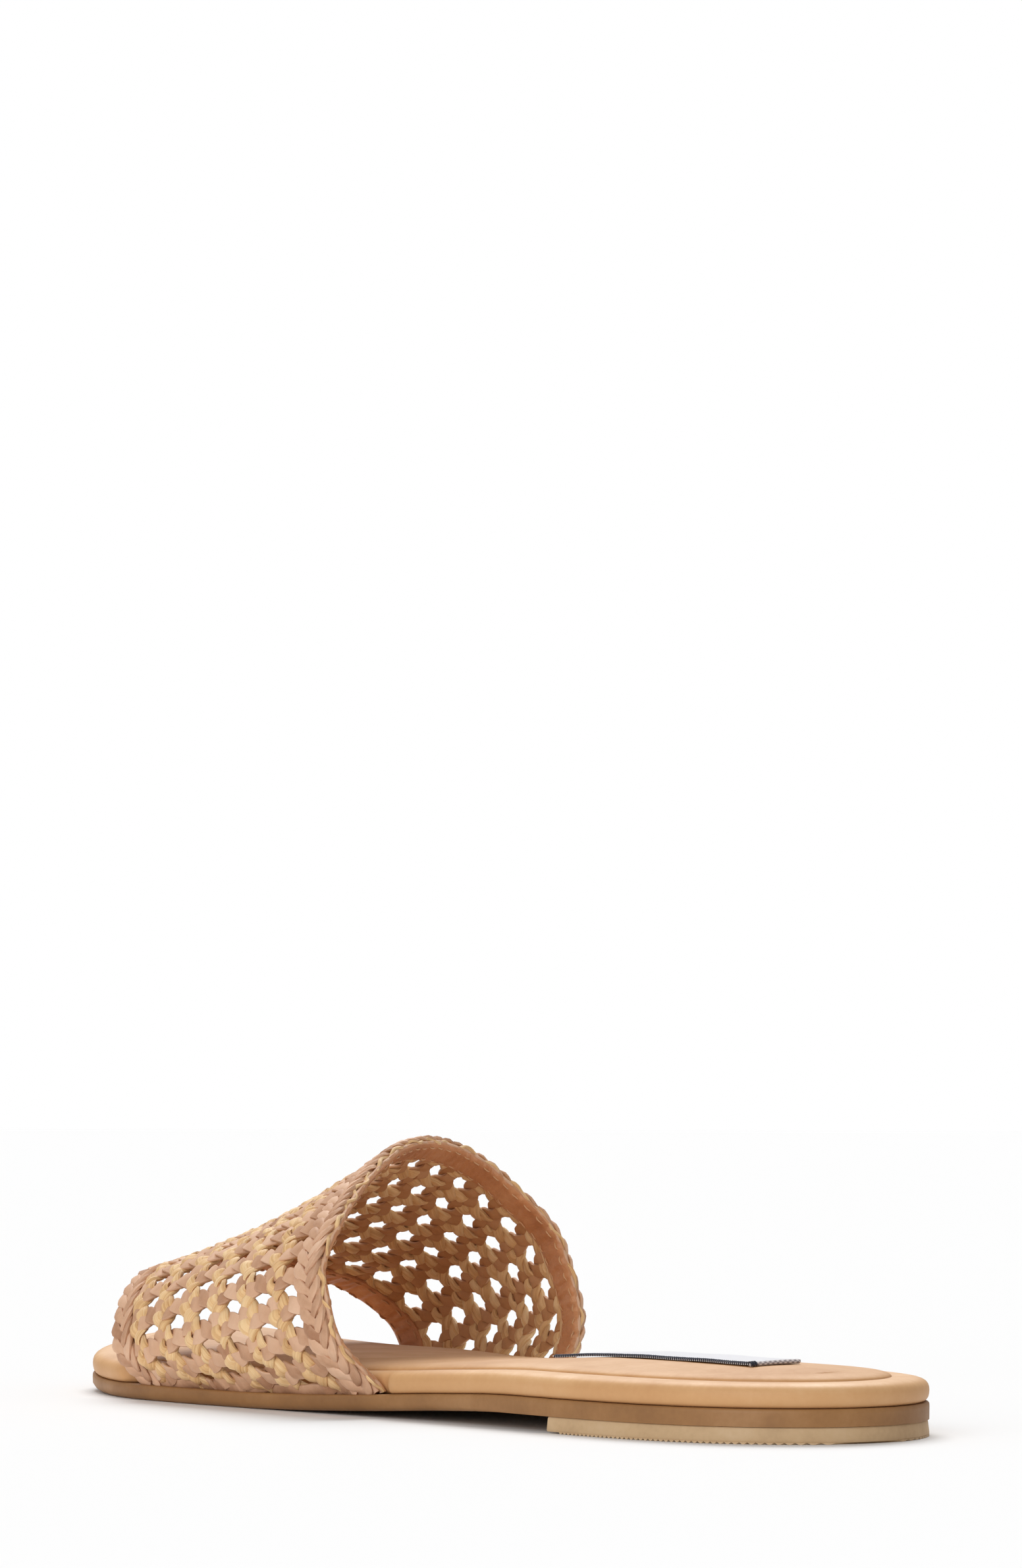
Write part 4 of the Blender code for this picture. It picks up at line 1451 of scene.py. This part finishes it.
@dataclass(frozen=True)
class TapeLook:
    """Sizes and colours of a woven tape."""

    name: str
    ground: Colour
    check: Colour
    count: float = 3.2
    contrast: float = 0.12
    depth: float = 0.05


class Finish:
    """A material that is put together from the shared effects."""

    def __init__(self, name: str) -> None:
        """Starts an empty material.

        Args:
            name: The material's name.
        """
        self.material = bpy.data.materials.new(name)
        self.material.use_nodes = True
        self.bench = NodeBench(self.material.node_tree)
        self.place = self.bench.add("ShaderNodeTexCoord")

    def effect(self, tree: bpy.types.NodeTree, inputs: dict[str, Value]) -> bpy.types.Node:
        """Places a shared group with this material's own values."""
        return self.bench.add("ShaderNodeGroup", inputs, node_tree=tree)

    def toned(self, effects: SharedEffects, tone: Value, look: Look) -> bpy.types.NodeSocket:
        """The colour that a tone has in the look's three tones."""
        tones = self.effect(effects.tones, {
            "Tone": tone, "Own Share": look.own_share, "Dark": look.dark, "Middle": look.middle,
            "Light": look.light})
        return tones.outputs["Color"]

    def close(self, height: Value, depth: float, inputs: dict[str, Value]) -> None:
        """Adds the bump and the shader, and ends the material.

        Args:
            height: The relief.
            depth: The relief's depth in millimetres.
            inputs: The shader's own values and sockets.
        """
        bump = self.bench.add("ShaderNodeBump", {"Height": height, "Distance": depth * MM,
                                                 "Strength": 1.0})
        shader = self.bench.add("ShaderNodeBsdfPrincipled", {**inputs, "Normal": bump.outputs[0]})
        out = self.bench.add("ShaderNodeOutputMaterial")
        self.bench.tree.links.new(shader.outputs[0], out.inputs["Surface"])


class LeatherFinish(Finish):
    """Leather with grain, creases and clouds of tone, a painted highlight on convex edges, painted
    shade on side faces, and browner inward faces of flesh side and painted shade.
    """

    def __init__(self, effects: SharedEffects, look: LeatherLook) -> None:
        """Builds the material.

        Args:
            effects: The shared node groups.
            look: The leather's sizes and colours.
        """
        super().__init__(look.name)
        bench, seat = self.bench, self.place.outputs["UV"]
        if not look.mapped:
            scaled = bench.add("ShaderNodeVectorMath", {0: self.place.outputs["Object"],
                                                        1: (1 / MM, 1 / MM, 1 / MM)},
                               operation="MULTIPLY")
            seat = scaled.outputs[0]
        grain = self.effect(effects.grain, {"Place": seat, "Size": look.grain,
                                            "Creases": look.creases})
        colour = self.toned(effects, grain.outputs["Tone"], look)
        shape = bench.add("ShaderNodeNewGeometry")
        # Painted highlight: convex edges, found by pointiness, are blended toward the light tone.
        painted_edge_highlight = bench.spread(shape.outputs["Pointiness"], 0.52, 0.62, 0.0, 0.45)
        colour = bench.blend(painted_edge_highlight, colour, look.light)
        # Painted shade: faces that turn from up to sideways are blended toward the dark tone.
        if look.side_shade:
            up = bench.add("ShaderNodeSeparateXYZ", {0: shape.outputs["Normal"]})
            side = bench.spread(up.outputs[2], 0.15, 0.85, look.side_shade, 0.0)
            colour = bench.blend(side, colour, look.dark)
        # The strip's inward faces are blended toward the back colour: partly the flesh side's own
        # brown, partly painted shade of the band's inside.
        if look.back_from:
            turned = bench.add("ShaderNodeSeparateXYZ", {0: self.place.outputs["UV"]})
            back = bench.spread(turned.outputs[0], look.back_from - 0.3, look.back_from + 0.3,
                                0.0, 0.7)
            colour = bench.blend(back, colour, look.back)
        rough = bench.spread(grain.outputs["Tone"], 0.3, 0.7, look.roughness + 0.08,
                             look.roughness - 0.06)
        self.close(grain.outputs["Height"], look.depth, {
            "Base Color": colour, "Roughness": rough, "Specular IOR Level": 0.4})


class FibreFinish(Finish):
    """Straw or thread: long fibres with their own tones, dull with a faint gloss."""

    def __init__(self, effects: SharedEffects, look: FibreLook) -> None:
        """Builds the material.

        Args:
            effects: The shared node groups.
            look: The fibre's sizes and colours.
        """
        super().__init__(look.name)
        fibres = self.effect(effects.fibres, {"Place": self.place.outputs["UV"],
                                              "Across": look.across, "Along": look.along})
        colour = self.toned(effects, fibres.outputs["Tone"], look)
        self.close(fibres.outputs["Height"], look.depth, {
            "Base Color": colour, "Roughness": look.roughness, "Sheen Weight": look.sheen,
            "Sheen Roughness": 0.4, "Specular IOR Level": 0.35})


class TapeFinish(Finish):
    """A fine woven tape whose crossing threads show as small checks."""

    def __init__(self, effects: SharedEffects, look: TapeLook) -> None:
        """Builds the material.

        Args:
            effects: The shared node groups.
            look: The tape's sizes and colours.
        """
        super().__init__(look.name)
        threads = self.effect(effects.threads, {"Place": self.place.outputs["UV"],
                                                "Count": look.count})
        share = self.bench.math("MULTIPLY", threads.outputs["Check"], look.contrast)
        colour = self.bench.blend(share, look.ground, look.check)
        self.close(threads.outputs["Height"], look.depth, {
            "Base Color": colour, "Roughness": 0.7, "Sheen Weight": 0.25,
            "Specular IOR Level": 0.3})


class Finishes:
    """Every finish of the sandal, by what it covers."""

    def __init__(self, effects: SharedEffects) -> None:
        """Makes the materials.

        Args:
            effects: The shared node groups.
        """
        def leather(name: str, *tones: Colour, **sizes: float) -> bpy.types.Material:
            """One leather, from its dark, middle and light tone."""
            return LeatherFinish(effects, LeatherLook(name, *tones, **sizes)).material

        def fibre(name: str, *tones: Colour, **sizes: float) -> bpy.types.Material:
            """One straw or thread, from its dark, middle and light tone."""
            return FibreFinish(effects, FibreLook(name, *tones, **sizes)).material

        def tape(name: str, *tones: Colour, **sizes: float) -> bpy.types.Material:
            """One woven tape, from its ground's and its checks' tone."""
            return TapeFinish(effects, TapeLook(name, *tones, **sizes)).material

        self.footbed = leather(
            "footbed_leather", srgb(198, 148, 98), srgb(216, 169, 118), srgb(230, 190, 144),
            # The board's side faces are darkened by painted shade.
            grain=0.30, creases=0.10, depth=0.010, roughness=0.52, side_shade=0.55)
        self.cushion = leather(
            "cushion_leather", srgb(190, 140, 92), srgb(206, 158, 108), srgb(220, 176, 128),
            grain=0.30, creases=0.12, depth=0.012, roughness=0.56)
        self.outsole = leather(
            "outsole_leather", srgb(132, 92, 54), srgb(153, 109, 64), srgb(172, 128, 82),
            grain=0.28, creases=0.15, depth=0.015, roughness=0.5)
        self.lift = leather(
            "lift_rubber", srgb(174, 142, 106), srgb(200, 168, 128), srgb(212, 184, 148),
            grain=0.25, creases=0.0, depth=0.010, roughness=0.62)
        self.thong = leather(
            "thong_leather", srgb(164, 116, 84), srgb(208, 164, 131), srgb(228, 190, 160),
            grain=0.45, creases=0.45, depth=0.035, roughness=0.62, own_share=0.5, mapped=True,
            # The inward faces' brown is the flesh side's own colour and painted shade of the band's
            # inside.
            back_from=4.0, back=srgb(186, 132, 80))
        self.binding = leather(
            "binding_leather", srgb(156, 96, 58), srgb(198, 136, 92), srgb(220, 166, 122),
            grain=0.35, creases=0.8, depth=0.05, roughness=0.42, mapped=True)
        self.straw = fibre(
            "straw", srgb(186, 134, 80), srgb(230, 188, 134), srgb(248, 218, 170),
            across=4.2, depth=0.24)
        self.thread = fibre(
            "cream_thread", srgb(176, 128, 86), srgb(204, 156, 112), srgb(226, 184, 142),
            across=6.0, along=1.2, depth=0.05)
        self.dark_thread = fibre(
            "dark_thread", srgb(18, 20, 30), srgb(34, 38, 52), srgb(64, 70, 88),
            across=6.0, along=1.2, depth=0.05)
        self.label = tape("white_tape", srgb(228, 228, 232), srgb(196, 196, 204))
        self.label_back = tape("checked_tape", srgb(206, 198, 196), srgb(120, 110, 114),
                               count=1.7, contrast=0.85)


@dataclass(frozen=True)
class Lamp:
    """One soft far light: where it comes from, its strength and how many degrees it spans."""

    name: str
    place: tuple[float, float, float]
    strength: float
    breadth: float


@dataclass
class Studio:
    """Pale floor, soft lights and the camera at the photo's place, given on the last's axes."""

    sole: SoleForm
    place: tuple[float, float, float] = (-686.19, 537.43, 57.77)
    yaw: float = 56.239
    pitch: float = 4.078
    roll: float = 0.134
    lens: float = 109.27
    floor_radius: float = 40.0
    floor_tone: float = 0.87
    world_light: float = 0.40
    lamps: tuple[Lamp, ...] = (Lamp("top", (0.85, -0.56, 1.25), 2.4, 42.0),
                               Lamp("side", (-0.6, 1.2, 0.5), 1.3, 50.0))

    def floor(self) -> None:
        """A wide flat pale floor."""
        body = bmesh.new()
        bmesh.ops.create_circle(body, cap_ends=True, radius=self.floor_radius, segments=96)
        mesh = bpy.data.meshes.new("floor")
        body.to_mesh(mesh)
        body.free()
        material = bpy.data.materials.new("pale_floor")
        material.use_nodes = True
        bench = NodeBench(material.node_tree)
        shader = bench.add("ShaderNodeBsdfPrincipled", {
            "Base Color": (self.floor_tone, self.floor_tone, self.floor_tone, 1.0),
            "Roughness": 0.9, "Specular IOR Level": 0.05})
        out = bench.add("ShaderNodeOutputMaterial")
        bench.tree.links.new(shader.outputs[0], out.inputs["Surface"])
        mesh.materials.append(material)
        floor = bpy.data.objects.new("floor", mesh)
        bpy.context.scene.collection.objects.link(floor)

    def lights(self) -> None:
        """Broad soft lights from beyond the toe and over the camera's left, and a white world."""
        for lamp in self.lamps:
            data = bpy.data.lights.new(lamp.name, "SUN")
            data.energy, data.angle = lamp.strength, radians(lamp.breadth)
            sun = bpy.data.objects.new(lamp.name, data)
            sun.location = lamp.place
            sun.rotation_euler = (-Vector(lamp.place)).to_track_quat("-Z", "Y").to_euler()
            bpy.context.scene.collection.objects.link(sun)
        world = bpy.data.worlds.new("studio")
        bpy.context.scene.world = world
        world.use_nodes = True
        bench = NodeBench(world.node_tree)
        path = bench.add("ShaderNodeLightPath")
        strength = bench.spread(path.outputs["Is Camera Ray"], 0.0, 1.0, self.world_light, 1.0)
        glow = bench.add("ShaderNodeBackground", {"Color": (1.0, 1.0, 1.0, 1.0),
                                                  "Strength": strength})
        out = bench.add("ShaderNodeOutputWorld")
        bench.tree.links.new(glow.outputs[0], out.inputs["Surface"])
        bpy.context.scene.view_settings.view_transform = "Standard"

    def camera(self) -> None:
        """The camera, level with the band and a little behind the shoe."""
        yaw, pitch, roll = radians(self.yaw), radians(self.pitch), radians(self.roll)
        ahead = Vector((sin(yaw) * cos(pitch), -cos(yaw) * cos(pitch), sin(pitch)))
        right = ahead.cross(Vector((0, 0, 1))).normalized()
        up = right.cross(ahead)
        turned = right * cos(roll) + up * sin(roll)
        up = up * cos(roll) - right * sin(roll)
        data = bpy.data.cameras.new("camera")
        data.sensor_width, data.lens = 36.0, self.lens
        data.clip_start, data.clip_end = 0.02, 60.0
        camera = bpy.data.objects.new("camera", data)
        axes = Matrix((turned, up, -ahead)).transposed()
        camera.matrix_world = Matrix.Translation(self.sole.placed(*self.place)) @ axes.to_4x4()
        bpy.context.scene.collection.objects.link(camera)
        bpy.context.scene.camera = camera


def main() -> None:
    """Builds the sandal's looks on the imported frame."""
    logging.basicConfig(level=logging.INFO, format="%(message)s")
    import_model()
    sole = SoleForm()
    band = BandForm(sole)
    bench = Workbench(sole)
    effects = SharedEffects()
    finishes = Finishes(effects)
    LOG.info("band %.1f mm wide, girths %.0f to %.0f mm", band.width, *band.girths[[0, -1]])

    maker = SoleMaker(sole, band, bench)
    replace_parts(maker.outsole(finishes.outsole), "outsole")
    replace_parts(maker.lift(finishes.lift), "heel_lift")
    maker.teeth(finishes.lift)
    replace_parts(maker.footbed(finishes.footbed), "footbed")
    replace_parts(maker.pad(finishes.cushion), "insole_pad")

    label = WovenLabel(sole, bench, maker)
    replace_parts(label.tape(finishes.label), "label")
    label.fold(finishes.label_back)
    label.overcast(finishes.dark_thread)

    weave = OpenWeave(band, bench)
    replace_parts(weave.thongs(finishes.thong), "upper")
    weave.straws(finishes.straw)
    for edge in Edge:
        name = edge.name.lower()
        EdgeBraid(band, bench, edge).build(finishes.thong, f"{name}_braid")
        binding = Binding(band, bench, edge)
        binding.build(finishes.binding, f"{name}_binding")
        binding.stitches(finishes.thread, f"{name}_stitches")
    for side in Side:
        FootRand(band, bench, side).build(finishes.thong)
    throat_edge = ThroatEdge(band, bench)
    throat_edge.fold(finishes.thong)
    throat_edge.straw(finishes.straw)

    studio = Studio(sole)
    studio.floor()
    studio.lights()
    studio.camera()


if __name__ == "__main__":
    main()
